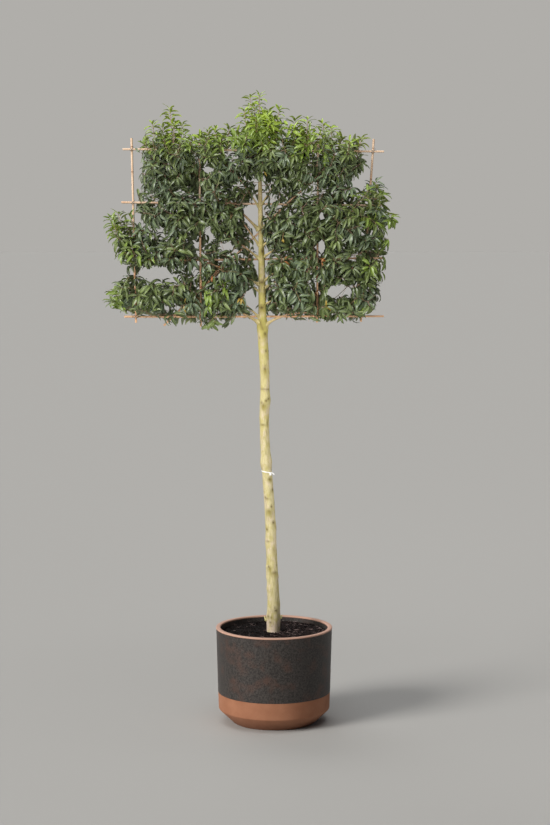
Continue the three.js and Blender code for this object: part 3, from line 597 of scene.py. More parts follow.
def trunk_relief(ring, turn):
    """The trunk's surface with the low wrinkles and flutes of its bark."""
    height = trunk_heights[ring]
    radius = trunk_surface(height, turn)[0]
    for number, length, deep in WRINKLES:
        radius = radius + deep * np.array([
            noise.noise(Vector((number * math.cos(t), number * math.sin(t), h / length)))
            for t, h in zip(turn, height)])
    return radius


trunk = tube(trunk_centres, trunk_relief, TRUNK_SIDES)
scar_layer = trunk.verts.layers.float.new("scar")
stain_layer = trunk.verts.layers.float.new("stain")
straight_layer = trunk.verts.layers.float_vector["straight"]
laid_out = np.array([vert[straight_layer] for vert in trunk.verts])
vert_heights = np.array([vert.co.z for vert in trunk.verts])
_, scarred, stained = trunk_surface(vert_heights, np.arctan2(laid_out[:, 1], laid_out[:, 0]))
for vert, dark, stain in zip(trunk.verts, scarred, stained):
    vert[scar_layer] = dark
    vert[stain_layer] = stain
show("laurel_trunk", trunk, [olive_bark()], ["trunk"], sharp=60)

# The sleeping buds
# Two fat green buds have broken from the bark at the trunk's foot, one on each side, under tight scales.

BUDS = [(0.644, 172, 0.0120), (0.656, 8, 0.0105)]
BUD_SCALES, BUD_SLIM, BUD_SLIMMER, BUD_SUNK = 3, 0.8, 0.15, 0.25
BUD_TALL, BUD_TAPER, BUD_LEAN, BUD_RISE = 0.9, 0.5, math.radians(28), (0.25, 0.55)


def bud_scale():
    """Tender bud scale: waxy yellow green, brownish at its edge, where the noise runs dark."""
    material, shader = finish("bud scale, green", "#b4b86c", 0.5)
    where = add_node(material, "ShaderNodeTexCoord").outputs["Object"]
    cloud = add_node(material, "ShaderNodeTexNoise", {"Vector": where, "Scale": 1 / 0.005, "Detail": 3.0})
    tinted(material, shader, "#b0a65c", [(cloud.outputs["Fac"], 0, 1, 1, "#e0d8a2")])
    return material


buds = bmesh.new()
for height, degrees, size in BUDS:
    turn = np.array([math.radians(degrees)])
    foot = trunk_middle(np.array([height]))[0]
    out = trunk_surface(np.array([height]), turn)[0][0]
    foot += (out + BUD_SUNK * size) * np.array([math.cos(turn[0]), -math.sin(turn[0]), 0])
    for number in range(BUD_SCALES):
        scale = bmesh.ops.create_uvsphere(buds, u_segments=14, v_segments=9, radius=size)["verts"]
        for vert in scale:
            vert.co.z *= BUD_TALL
            slimness = (BUD_SLIM - BUD_SLIMMER * number) * (1 - BUD_TAPER * max(0, vert.co.z / size))
            vert.co.x *= slimness
            vert.co.y *= slimness
        lean = Matrix.Rotation(BUD_LEAN * math.cos(turn[0]), 3, "Y")
        bmesh.ops.rotate(buds, cent=(0, 0, 0), matrix=lean, verts=scale)
        rise = Vector((BUD_RISE[0] * math.cos(turn[0]), 0, BUD_RISE[1])) * size * number
        bmesh.ops.translate(buds, vec=Vector(foot) + rise, verts=scale)
show("trunk_buds", buds, [bud_scale()], [])

# The trunk's tie
# A white nylon cable tie, pulled tight round the stem with its head at the front right. Its cut end arches
# out of the head and over the stem's right side.

TIE_HEIGHT, TIE_WIDTH, TIE_THICKNESS, TIE_TILT = 1.579, 0.0070, 0.0019, math.radians(-10)
TIE_GAP, TIE_SIDES, TIE_RINGS, TAIL_RINGS = 0.0008, 12, 73, 14
TIE_HEAD, TIE_HEAD_ROUND = (0.0125, 0.0085, 0.0200), 0.0014
TIE_HEAD_DROP, TIE_HEAD_TURN = 0.007, math.radians(52)
TAIL_WAY, TAIL_DROP = (0.024, -0.004, 0.006), (0, -0.002, 0.018)


def flat_section(half_thick, half_wide):
    """Radii of a strap's section with rounded corners, thin towards its sides."""
    def radius_at(ring, turn):
        return ((np.abs(np.cos(turn)) / half_thick) ** 5 + (np.abs(np.sin(turn)) / half_wide) ** 5) ** -0.2
    return radius_at


def joined(target, part):
    """Puts one bmesh into another and frees it."""
    mesh = bpy.data.meshes.new("joined")
    part.to_mesh(mesh)
    part.free()
    target.from_mesh(mesh)
    bpy.data.meshes.remove(mesh)


def white_nylon():
    """Moulded nylon: milky white and slightly waxy."""
    material, shader = finish("nylon, white", "#f1efe9", 0.38, IOR=1.53)
    where = add_node(material, "ShaderNodeTexCoord").outputs["Object"]
    haze = add_node(material, "ShaderNodeTexNoise", {
        "Vector": where, "Scale": 1 / 0.004, "Detail": 2.0}).outputs["Fac"]
    tinted(material, shader, "#e6e3da", [(haze, 0, 1, 1, "#fbfaf6")])
    add_node(material, "ShaderNodeBump", {
        "Height": haze, "Strength": 0.15, "Distance": 0.0004}, into=(shader, "Normal"))
    return material


def tie_place(turn, beyond):
    """A place on the tie's tilted ring, at turns round the trunk and so far out from the bark."""
    height = TIE_HEIGHT + math.tan(TIE_TILT) * trunk_radius(TIE_HEIGHT) * np.cos(turn)
    radius = trunk_surface(height, turn)[0] + beyond
    middle = trunk_middle(height)
    return middle + np.stack([radius * np.cos(turn), -radius * np.sin(turn), 0 * turn], -1)


tie = tube(tie_place(np.linspace(0, 2 * math.pi, TIE_RINGS), TIE_THICKNESS / 2 + TIE_GAP),
           flat_section(TIE_THICKNESS / 2, TIE_WIDTH / 2), TIE_SIDES, reference=UP)
head_at = Vector(tie_place(np.array([TIE_HEAD_TURN]), TIE_HEAD[1] / 2)[0]) - Vector((0, 0, TIE_HEAD_DROP))
head = bmesh.ops.create_cube(tie, size=1)["verts"]
bmesh.ops.scale(tie, vec=TIE_HEAD, verts=head)
bmesh.ops.bevel(tie, geom=[edge for edge in tie.edges if all(v in head for v in edge.verts)],
                offset=TIE_HEAD_ROUND, affect="EDGES", segments=3, profile=0.5, material=-1)
head = [vert for vert in tie.verts if vert.co.length < TIE_HEAD[2]]
bmesh.ops.translate(tie, vec=head_at, verts=head)
shares = np.linspace(0, 1, TAIL_RINGS)[:, None]
tail_line = np.array(head_at) + [0, 0, TIE_HEAD_DROP] + shares * TAIL_WAY - shares ** 2 * TAIL_DROP
joined(tie, tube(tail_line, flat_section(TIE_WIDTH / 2.4, TIE_THICKNESS / 2), TIE_SIDES))
show("white_cable_tie", tie, [white_nylon()], ["trunk_tie"])

# The frame of canes
# Nine bamboo canes, cut to length and lashed into a panel behind the trunk: four across, four upright and
# one from corner to corner. Each has a ridge at every node and shows its hollow where it was sawn through.

CANE_ACROSS, CANE_UPRIGHT, ACROSS_Y, GAP = 0.0075, 0.008, 0.040, 0.0003
CANE_WALL, HOLLOW_DEPTH = 0.0026, 0.016
CANE_SIDES = 20
NODE_SPACING, NODE_RISE, NODE_SHARP, NODE_KINK = 0.205, 0.0011, 0.0016, 0.0016
NODE_RINGS = np.array([-0.008, -0.004, -0.0018, -0.0006, 0.0006, 0.0022, 0.0045, 0.009])
FIRST_NODE, NODE_JITTER, LAST_NODE = (0.2, 0.6), (0.75, 0.5), 0.03
NODE_DARK, NODE_DARK_WIDTH = 0.85, 0.0028
CANE_RING, END_RING = 0.025, 0.003
CANE_TAPER, OUT_OF_ROUND, SAWN_EDGE = 0.07, 0.012, 0.0005
CANES = {}
for number, ends in enumerate([
        [(-0.933, 3.575), (0.677, 3.561)], [(-0.943, 3.250), (0.662, 3.231)],
        [(-0.760, 2.893), (0.683, 2.907)], [(-0.930, 2.544), (0.681, 2.547)]]):
    CANES[f"cane_across_{number + 1}"] = (ends, ACROSS_Y, CANE_ACROSS)
for number, (layer, ends) in enumerate([
        (1, [(-0.879, 3.644), (-0.859, 2.506)]), (-1, [(-0.459, 3.610), (-0.454, 2.483)]),
        (-1, [(0.271, 3.613), (0.266, 2.509)]), (1, [(0.614, 3.638), (0.540, 2.512)])]):
    depth = ACROSS_Y + layer * (CANE_ACROSS + CANE_UPRIGHT + GAP)
    CANES[f"cane_upright_{number + 1}"] = (ends, depth, CANE_UPRIGHT)
CANES["cane_diagonal"] = ([(-0.686, 2.488), (0.444, 3.588)], ACROSS_Y + 2 * CANE_ACROSS + GAP, CANE_ACROSS)


def cane_ends(name):
    """The two ends of a cane's middle line."""
    ((x0, z0), (x1, z1)), depth, _ = CANES[name]
    return np.array([x0, depth, z0]), np.array([x1, depth, z1])


def bamboo():
    """Dried bamboo: hard and satin, peach, painted orange lower down as painted light and shade where the
    leaves shade it, streaked along its fibres, with a dark ring at each node and weathered patches."""
    material, shader = finish("bamboo, dried", "#dcae84", 0.5)
    laid = add_node(material, "ShaderNodeAttribute", attribute_name="straight").outputs["Vector"]
    fibres = add_node(material, "ShaderNodeMapping", {"Vector": laid, "Scale": (420.0, 420.0, 5.0)})
    streaks = add_node(material, "ShaderNodeTexNoise", {
        "Vector": fibres.outputs["Vector"], "Scale": 1.0, "Detail": 4.0}).outputs["Fac"]
    where = add_node(material, "ShaderNodeTexCoord").outputs["Object"]
    weather = add_node(material, "ShaderNodeTexNoise", {"Vector": where, "Scale": 1 / 0.12, "Detail": 3.0})
    height = add_node(material, "ShaderNodeSeparateXYZ", {"Vector": where}).outputs["Z"]
    node_ring = add_node(material, "ShaderNodeAttribute", attribute_name="node").outputs["Fac"]
    # Painted shade and light: lower canes take the orange of shaded cane, kept bright to lift them.
    tinted(material, shader, "#deb084", [
        (streaks, 0, 1, 1, "#fbe4cb"), (weather.outputs["Fac"], 0.48, 0.66, 0.5, "#d09a70"),
        (height, 3.2, 2.8, 0.6, "#f2b57e"), (node_ring, 0, 1, 1, "#7a5233")])
    add_node(material, "ShaderNodeBump", {
        "Height": streaks, "Strength": 0.3, "Distance": 0.0006}, into=(shader, "Normal"))
    return material


def culm(name, draw):
    """One cane, with its nodes, its slight kinks at them, and a hollow cut in each end."""
    start, end = cane_ends(name)
    radius = CANES[name][2]
    length = np.linalg.norm(end - start)
    nodes = []
    place = NODE_SPACING * (FIRST_NODE[0] + FIRST_NODE[1] * draw())
    while place < length - LAST_NODE:
        nodes.append(place)
        place += NODE_SPACING * (NODE_JITTER[0] + NODE_JITTER[1] * draw())
    marks = np.concatenate([
        [0, END_RING, length - END_RING, length], np.arange(0.02, length - 0.01, CANE_RING)])
    marks = np.unique(np.round(np.concatenate([marks, *[node + NODE_RINGS for node in nodes]]), 5))
    from_node = np.abs(marks[:, None] - np.array(nodes)).min(1)
    kinks = np.interp(marks, [0, *nodes, length], [0, *[NODE_KINK * (draw() - 0.5) for _ in nodes], 0])
    along = (end - start) / length
    centres = start + marks[:, None] * along + kinks[:, None] * unit(np.cross(BACK, along))
    taper = 1 - CANE_TAPER * marks / length
    body = (radius - NODE_RISE) * taper + NODE_RISE * np.exp(-(from_node / NODE_SHARP) ** 2)
    body[[0, -1]] -= SAWN_EDGE
    bm = tube(centres, lambda ring, turn: body[ring] * (1 + OUT_OF_ROUND * np.cos(2 * turn + 1)), CANE_SIDES)
    for cap in [face for face in bm.faces if len(face.verts) == CANE_SIDES]:
        inwards = -cap.normal.copy()
        bmesh.ops.inset_individual(bm, faces=[cap], thickness=CANE_WALL)
        pushed = bmesh.ops.extrude_discrete_faces(bm, faces=[cap])["faces"]
        bmesh.ops.translate(bm, vec=inwards * HOLLOW_DEPTH, verts=pushed[0].verts)
    node_layer = bm.verts.layers.float.new("node")
    straight = bm.verts.layers.float_vector["straight"]
    for vert in bm.verts:
        near = min(abs(vert[straight].z - node) for node in nodes)
        vert[node_layer] = NODE_DARK * math.exp(-(near / NODE_DARK_WIDTH) ** 2)
    return bm


bamboo_finish = bamboo()
cane_draw = seeded(31)
for name in CANES:
    show(f"bamboo_{name}", culm(name, cane_draw), [bamboo_finish], [name], sharp=50)

# The lashings
# Soft galvanised tying wire binds each across cane wherever another cane crosses it. It passes round both,
# twice on each slant, and its ends are twisted together at the front.

WIRE, WIRE_SIDES, ROW_APART = 0.0006, 6, 2.3
WRAP_REACH, WRAP_SQUARENESS, WRAP_RINGS = CANE_UPRIGHT * 1.45 + WIRE, 3.4, 29
TWIST_LENGTH, TWIST_TURNS, TWIST_WAY, TWIST_RINGS = 0.016, 3, np.array([0.55, -0.25, 0.8]), 22
TWIST_ASIDE, TWIST_ABOVE = 0.006, 0.004


def crossings():
    """Where an across cane meets an upright or the diagonal: the place midway and the depth of each."""
    found = []
    across = [name for name in CANES if "across" in name]
    for one in across:
        for other in [name for name in CANES if name not in across]:
            (a, b), (c, d) = cane_ends(one), cane_ends(other)
            way, wayward = (b - a)[[0, 2]], (d - c)[[0, 2]]
            s, t = np.linalg.solve(np.stack([way, -wayward], 1), (c - a)[[0, 2]])
            if 0.005 < s < 0.995 and 0.005 < t < 0.995:
                place = a + s * (b - a)
                found.append((place, (a[1] + c[1]) / 2, abs(a[1] - c[1]) / 2))
    return found


wires = bmesh.new()
shares = np.linspace(0, 1, TWIST_RINGS)
loop_turns = np.linspace(0, 2 * math.pi, WRAP_RINGS)
right, front = np.cos(loop_turns), np.sin(loop_turns)
around = (np.abs(right) ** WRAP_SQUARENESS + np.abs(front) ** WRAP_SQUARENESS) ** (-1 / WRAP_SQUARENESS)
for place, depth, half_apart in crossings():
    deep = half_apart + CANE_UPRIGHT + WIRE
    for slant in (1, -1):
        for row in (-0.5, 0.5):
            sideways = np.array([slant, 0, 1]) / math.sqrt(2)
            slope = np.cross(sideways, BACK)
            loop = np.array([place[0], depth, place[2]]) + row * ROW_APART * WIRE * slope
            loop = loop + (around * right * WRAP_REACH)[:, None] * sideways
            loop = loop + (around * front * deep)[:, None] * BACK
            joined(wires, tube(loop, lambda ring, turn: WIRE + 0 * turn, WIRE_SIDES, reference=slope))
    twist_depth = depth - half_apart - CANE_UPRIGHT - 2 * WIRE
    for start in (0, math.pi):
        coil = start + TWIST_TURNS * 2 * math.pi * shares
        line = np.array([place[0] + TWIST_ASIDE, twist_depth, place[2] + TWIST_ABOVE])
        line = line + shares[:, None] * TWIST_LENGTH * TWIST_WAY
        line = line + WIRE * np.stack([np.cos(coil), np.sin(coil), 0 * coil], -1)
        joined(wires, tube(line, lambda ring, turn: WIRE + 0 * turn, WIRE_SIDES))


def tying_wire():
    """Galvanised steel wire, dulled to grey by the weather."""
    material, shader = finish("wire, galvanised", "#8a8680", 0.5, Metallic=0.9)
    where = add_node(material, "ShaderNodeTexCoord").outputs["Object"]
    bloom = add_node(material, "ShaderNodeTexNoise", {"Vector": where, "Scale": 1 / 0.006, "Detail": 3.0})
    tinted(material, shader, "#6a6660", [(bloom.outputs["Fac"], 0, 1, 1, "#a9a59e")])
    return material


show("cane_lashings", wires, [tying_wire()], [], sharp=60)

# The boughs
# Sixteen side branches that leave the trunk in four tiers and are trained out along the frame. Each swells
# into a collar where it joins, and its bark turns from olive to a pinkish brown towards the tip.

BOUGH_TIP, BOUGH_COLLAR, COLLAR_LENGTH, BOUGH_FRONT = 0.62, 0.45, 0.12, -0.009
FLARE, FLARE_LENGTH, THICK_BOUGH = 1.1, 0.013, 0.015
KNUCKLE, KNUCKLES, FIRST_KNUCKLE = 0.0007, 7, 0.3
BEND, EARLY_BENDS = 0.5, {"bottom_right_outer": 0.3}
BOUGH_SIDES, BOUGH_RINGS = 20, 90
# Each bough's height at the trunk, its tip, its thickness, and how much of its rise comes before its bend.
BOUGHS = {
    "bottom_left_outer": (2.497, (-0.408, 2.644), 0.015, 0.72),
    "bottom_left_inner": (2.520, (-0.228, 2.660), 0.012, 0.60),
    "lower_left_outer": (2.736, (-0.412, 2.878), 0.012, 0.62),
    "lower_left_inner": (2.686, (-0.196, 2.772), 0.010, 0.58),
    "middle_left_outer": (2.892, (-0.425, 3.128), 0.012, 0.62),
    "middle_left_inner": (2.968, (-0.236, 3.186), 0.012, 0.50),
    "upper_left_outer": (3.066, (-0.450, 3.394), 0.014, 0.60),
    "upper_left_inner": (3.205, (-0.222, 3.404), 0.010, 0.55),
    "bottom_right_outer": (2.475, (0.250, 2.573), 0.015, 1.02),
    "bottom_right_inner": (2.612, (0.058, 2.684), 0.010, 0.55),
    "lower_right_outer": (2.716, (0.252, 2.856), 0.012, 0.66),
    "lower_right_inner": (2.756, (0.056, 2.854), 0.012, 0.58),
    "middle_right_outer": (2.904, (0.252, 3.090), 0.011, 0.64),
    "middle_right_inner": (2.972, (0.052, 3.086), 0.010, 0.55),
    "upper_right_outer": (3.080, (0.252, 3.384), 0.012, 0.60),
    "upper_right_inner": (3.222, (0.040, 3.412), 0.010, 0.55),
}


def curve_points(start, bend, end, shares):
    """Places along a quadratic curve from start to end that is drawn towards its bend."""
    shares = np.asarray(shares)[..., None]
    return (1 - shares) ** 2 * start + 2 * shares * (1 - shares) * bend + shares ** 2 * end


def bough_curve(name):
    """The start, bend and end of a bough's middle line, from inside the trunk to its tip."""
    root_height, (x, z), _, arch = BOUGHS[name]
    root = np.array([*trunk_station(np.array(root_height))])
    across = root[0] + EARLY_BENDS.get(name, BEND) * (x - root[0])
    bend = np.array([across, BOUGH_FRONT / 2, root_height + arch * (z - root_height)])
    return root, bend, np.array([x, BOUGH_FRONT, z])


def bough_radius(name, share):
    """A bough's radius at shares of its length, with its slow swelling towards the trunk."""
    collar = BOUGH_COLLAR * np.exp(-share / COLLAR_LENGTH)
    return BOUGHS[name][2] / 2 * (1 - (1 - BOUGH_TIP) * share + collar)


def young_bark():
    """Two-year-old bark: thin and smooth, tan and olive, flushed with pinkish brown, and finely lined."""
    material, shader = finish("laurel bark, young", "#a58f63", 0.65)
    laid = add_node(material, "ShaderNodeAttribute", attribute_name="straight").outputs["Vector"]
    outwards = add_node(material, "ShaderNodeSeparateXYZ", {"Vector": laid}).outputs["Z"]
    stretched = add_node(material, "ShaderNodeMapping", {"Vector": laid, "Scale": (160.0, 160.0, 40.0)})
    mottle = add_node(material, "ShaderNodeTexNoise", {
        "Vector": stretched.outputs["Vector"], "Scale": 1.0, "Detail": 4.0}).outputs["Fac"]
    tinted(material, shader, "#c4b67c", [
        (outwards, 0.02, 0.14, 1, "#c09a78"), (mottle, 0.45, 0.7, 0.55, "#836a42")])
    add_node(material, "ShaderNodeBump", {
        "Height": mottle, "Strength": 0.4, "Distance": 0.0008}, into=(shader, "Normal"))
    return material


young_bark_finish = young_bark()
for name in BOUGHS:
    curve = bough_curve(name)
    shares = np.linspace(0, 1, BOUGH_RINGS + 1)
    centres = curve_points(*curve, shares)
    from_bark = np.linalg.norm(centres - trunk_middle(centres[:, 2]), axis=1) - trunk_radius(centres[:, 2])
    out_of_trunk = from_bark > -trunk_radius(centres[:, 2]) / 2
    shares = shares[out_of_trunk]
    knuckles = KNUCKLE * np.maximum(0, np.cos(2 * math.pi * (shares * KNUCKLES + FIRST_KNUCKLE))) ** 8
    flare = FLARE * (BOUGHS[name][2] / THICK_BOUGH) ** 2
    flare = 1 + flare * np.exp(-np.maximum(from_bark[out_of_trunk], 0) / FLARE_LENGTH)
    radii = bough_radius(name, shares) * flare + knuckles
    limb = tube(centres[out_of_trunk], lambda ring, turn: radii[ring], BOUGH_SIDES)
    show(f"bark_bough_{name}", limb, [young_bark_finish], [f"bough_{name}"], sharp=60)

# The crown
# Each bough ends in a mass of twigs that fork again and again, and so does the trunk's tip. A mass fills its
# own rounded box, with long shoots that reach further and windows where the sky shows through.

# Each mass's lower left and upper right corners, and the tips of its long shoots, all seen from the front.
MASSES = {
    "bottom_left_outer": ((-1.010, 2.520), (-0.445, 2.825), [(-1.046, 2.668)]),
    "bottom_left_inner": ((-0.466, 2.475), (-0.105, 2.790), []),
    "lower_left_outer": ((-0.985, 2.850), (-0.455, 3.090), [
        (-0.985, 3.240), (-1.025, 3.210), (-1.030, 3.140), (-0.935, 3.200), (-0.900, 3.230)]),
    "lower_left_inner": ((-0.466, 2.746), (-0.105, 3.020), []),
    "middle_left_outer": ((-0.860, 3.040), (-0.445, 3.350), []),
    "middle_left_inner": ((-0.466, 2.990), (-0.125, 3.420), []),
    "upper_left_outer": ((-0.862, 3.300), (-0.440, 3.740), [
        (-0.644, 3.892), (-0.752, 3.792), (-0.561, 3.795), (-0.690, 3.775), (-0.610, 3.790),
        (-0.815, 3.680)]),
    "upper_left_inner": ((-0.487, 3.330), (-0.200, 3.690), [
        (-0.414, 3.752), (-0.360, 3.756), (-0.271, 3.768), (-0.470, 3.715)]),
    "bottom_right_outer": ((0.260, 2.530), (0.664, 2.770), []),
    "bottom_right_inner": ((-0.055, 2.490), (0.300, 2.800), []),
    "lower_right_outer": ((0.255, 2.750), (0.690, 3.000), []),
    "lower_right_inner": ((-0.055, 2.765), (0.290, 3.000), []),
    "middle_right_outer": ((0.224, 2.950), (0.740, 3.390), [(0.792, 3.150), (0.645, 3.400), (0.680, 3.310)]),
    "middle_right_inner": ((-0.075, 2.970), (0.265, 3.330), []),
    "upper_right_outer": ((0.255, 3.350), (0.582, 3.690), [
        (0.290, 3.796), (0.342, 3.768), (0.412, 3.716), (0.552, 3.705), (0.470, 3.690)]),
    "upper_right_inner": ((-0.040, 3.330), (0.333, 3.720), [(0.128, 3.822), (0.212, 3.820), (0.170, 3.760)]),
    "top": ((-0.318, 3.420), (0.090, 3.800), [
        (-0.147, 3.962), (-0.088, 3.966), (-0.024, 3.880), (0.046, 3.884), (-0.190, 3.880), (-0.120, 3.900),
        (-0.060, 3.850), (-0.250, 3.740)]),
}
CROWN_DEPTH, CROWN_MIDDLE, SQUARENESS = 0.210, 0.020, 4
SHOOT, SHOOT_RISE, SHOOT_LENGTH, SHOOT_RADIUS = 0.088, 2.2, 0.26, 0.0021
# The windows: each one's middle, and its half width and half height.
WINDOWS = [
    (-0.150, 3.170, 0.042, 0.070), (-0.005, 3.262, 0.036, 0.028), (-0.300, 2.966, 0.052, 0.036),
    (-0.740, 2.810, 0.120, 0.042), (-0.628, 2.584, 0.080, 0.024), (0.395, 2.690, 0.086, 0.048),
    (0.292, 2.972, 0.028, 0.044), (-0.150, 2.650, 0.038, 0.060), (-0.404, 3.446, 0.030, 0.034),
    (-0.400, 3.050, 0.030, 0.050), (0.296, 3.150, 0.026, 0.030), (-0.270, 3.555, 0.026, 0.020),
    (-0.835, 3.520, 0.040, 0.030), (0.490, 2.900, 0.030, 0.030), (-0.490, 2.970, 0.028, 0.030),
    (-0.320, 3.140, 0.022, 0.024), (-0.835, 3.150, 0.030, 0.030),
]
# The crown's outline from the front, all the way round.
OUTLINE = [
    (-0.84, 3.54), (-0.80, 3.63), (-0.56, 3.67), (-0.50, 3.63), (-0.42, 3.66), (-0.22, 3.67), (-0.18, 3.75),
    (-0.04, 3.78), (0.10, 3.71), (0.27, 3.69), (0.36, 3.65), (0.53, 3.61), (0.49, 3.56), (0.54, 3.49),
    (0.46, 3.42), (0.48, 3.34), (0.53, 3.32), (0.60, 3.36), (0.62, 3.41), (0.66, 3.37), (0.68, 3.26),
    (0.73, 3.14), (0.74, 3.06), (0.71, 2.98), (0.71, 2.86), (0.67, 2.68), (0.61, 2.60), (0.55, 2.51),
    (0.16, 2.51), (0.00, 2.54), (-0.20, 2.54), (-0.30, 2.48), (-0.46, 2.47), (-0.60, 2.45), (-0.70, 2.52),
    (-0.93, 2.55), (-0.98, 2.60), (-1.04, 2.68), (-0.97, 2.75), (-0.88, 2.82), (-0.93, 2.92), (-0.97, 3.04),
    (-1.01, 3.12), (-0.95, 3.18), (-0.89, 3.22), (-0.90, 3.29), (-0.82, 3.38), (-0.81, 3.46),
]
# Short twigs straight out of the trunk: height, way and length.
SPURS = [
    (3.43, (-0.8, 0.5, 0.3), 0.09), (3.41, (0.8, 0.6, 0.2), 0.09), (3.37, (-0.9, -0.3, 0.1), 0.08),
    (3.35, (0.9, -0.3, 0.2), 0.08), (3.30, (-0.8, 0.5, 0.0), 0.07), (3.31, (0.9, 0.5, 0.1), 0.08),
    (2.84, (0.9, 0.4, 0.3), 0.07), (2.73, (-0.9, 0.5, 0.3), 0.07), (2.65, (0.8, -0.4, 0.4), 0.07),
    (2.57, (0.9, 0.4, 0.3), 0.07), (3.02, (0.8, 0.5, 0.3), 0.06),
]
OUTLINE_BLUR = 0.010
STEM, STEM_TAPER, FORKS, FORKS_TRIED = 0.058, 0.8, (0.3, 0.62, 0.93), 6
GOAL_AREA, FEWEST_GOALS, GOAL_INSET, GOAL_EDGE = 0.0065, 3, 0.9, 0.012
SWAY, CANDIDATES, MOST_DRAWS, WAY_BACK, SHORTEST = 0.046, 9, 60, 0.3, 0.034
CLEAR_FROM, TWIG_CLEARANCE, FIRST_SEED = 0.15, 0.005, 100
FINE_AREA, FINE_CANDIDATES, FINE_SHORTEST, FINE_DEEP = 0.00056, 4, 0.032, (0.25, 0.68)
SAG_TALL, SAG_HIGH, SAG_LOW = 0.30, 0.16, -0.14
SHOOT_TIP, SHOOT_RUN, UPRIGHT_FROM = 0.068, 0.14, 3.55
THIN_BY_TRUNK, THICKENING, CLOSED_FROM = 0.056, 0.40, 3.25
THINNER, THINNEST, FINE_TAPER, SHOOT_BOW, SHOOT_LEAN = 0.78, 0.0011, 0.62, 0.12, 0.02
SPUR_RADIUS, SPUR_TAPER, SPUR_SUNK, SPUR_SAG = 0.0018, 0.6, 0.7, 0.1
TWIG_SIDES, TWIG_RINGS, TWIG_FLARE, TWIG_FLARE_LENGTH = 6, 5, 0.3, 0.08
TRUNK_STRETCHES, BOUGH_STRETCHES = 24, 5
SPACES = {
    name: (np.array([(x0 + x1) / 2, CROWN_MIDDLE, (z0 + z1) / 2]),
           np.array([(x1 - x0) / 2, CROWN_DEPTH, (z1 - z0) / 2]))
    for name, ((x0, z0), (x1, z1), _) in MASSES.items()}

Twig = namedtuple("Twig", "start bend end radius end_radius kind")


def stretch(name, places):
    """How far out places lie in a mass's rounded box: 1 is on its surface."""
    middle, half = SPACES[name]
    return (np.abs((places - middle) / half) ** SQUARENESS).sum(-1) ** (1 / SQUARENESS)


def borders_of(name):
    """The flat borders to the other masses, as (place, direction inwards). Each parts the way between two
    middles in the ratio of the masses' sizes."""
    middle, half = SPACES[name]
    borders = []
    for other in MASSES:
        if other == name:
            continue
        away = SPACES[other][0] - middle
        reach, theirs = (np.abs(away) @ (h * [1, 0, 1]) for h in (half, SPACES[other][1]))
        borders.append((middle + away * reach / (reach + theirs), unit(-away)))
    return borders


def inside_borders(borders, place):
    """How far a place lies inside the nearest border."""
    return min((place - at) @ inwards for at, inwards in borders)


def upturned(way):
    """A shoot's way near its tip, where it turns up towards the light."""
    return unit(unit(way) + SHOOT_RISE * max(0, unit(way)[2]) * UP)


def shoot_place(name, tip, back):
    """A place on a long shoot, so far back from its tip."""
    at = np.array([tip[0], CROWN_MIDDLE, tip[1]])
    return at - upturned(at - SPACES[name][0]) * back


def in_window(places, shrunk=1.0):
    """Whether places lie in a window of the crown, or in its inner part."""
    inside = np.zeros(places.shape[:-1], bool)
    for x, z, wide, high in WINDOWS:
        inside |= np.hypot((places[..., 0] - x) / wide, (places[..., 2] - z) / high) < shrunk
    return inside


def in_outline(places):
    """Whether places lie inside the crown's outline as it shows from the front."""
    inside = np.zeros(places.shape[:-1], bool)
    for (x0, z0), (x1, z1) in zip(OUTLINE, OUTLINE[1:] + OUTLINE[:1]):
        spans = (z0 > places[..., 2]) != (z1 > places[..., 2])
        share = (places[..., 2] - z0) / (z1 - z0) if z1 != z0 else 0
        inside ^= spans & (places[..., 0] < x0 + share * (x1 - x0))
    return inside


def least_distance(a0, a1, b0, b1):
    """The least distance between two straight stretches, for arrays of them."""
    u, v, w = a1 - a0, b1 - b0, a0 - b0
    uu, uv, vv, uw, vw = ((p * q).sum(-1) for p, q in ((u, u), (u, v), (v, v), (u, w), (v, w)))
    square = uu * vv - uv * uv
    s = np.where(square > 1e-6 * uu * vv, np.clip((uv * vw - vv * uw) / np.maximum(square, 1e-12), 0, 1), 0)
    t = np.clip((uv * s + vw) / vv, 0, 1)
    s = np.clip((uv * t - uw) / uu, 0, 1)
    return np.linalg.norm(w + u * s[..., None] - v * t[..., None], axis=-1)


def limb_stretches():
    """The canes, the trunk and the boughs as straight stretches: their starts, ends and radii."""
    starts, ends, radii = [], [], []

    def add_line(line, line_radii):
        starts.extend(line[:-1])
        ends.extend(line[1:])
        radii.extend(line_radii)
    for name in CANES:
        add_line(cane_ends(name), [CANES[name][2]])
    heights = np.linspace(TRUNK_FOOT, TRUNK_TIP, TRUNK_STRETCHES + 1)
    add_line(trunk_middle(heights), trunk_radius((heights[1:] + heights[:-1]) / 2))
    for name in BOUGHS:
        shares = np.linspace(0, 1, BOUGH_STRETCHES + 1)
        middles = shares[:-1] + 0.5 / BOUGH_STRETCHES
        add_line(curve_points(*bough_curve(name), shares), bough_radius(name, middles))
    return np.array(starts), np.array(ends), np.array(radii)


LIMB_STARTS, LIMB_ENDS, LIMB_RADII = limb_stretches()


def clear_of_limbs(starts, ends, clearance):
    """Whether straight stretches keep so far clear of every trunk, bough and cane."""
    apart = least_distance(starts[..., None, :], ends[..., None, :], LIMB_STARTS, LIMB_ENDS)
    return (apart > LIMB_RADII + clearance).all(-1)


def stem_root(name):
    """Where a mass's stem leaves its limb, the way the limb points there, and the limb's radius."""
    if name in BOUGHS:
        _, bend, end = bough_curve(name)
        return end, unit(end - bend), bough_radius(name, 1.0)
    return trunk_line[-1], unit(trunk_line[-1] - trunk_line[-2]), trunk_radius(TRUNK_TIP)


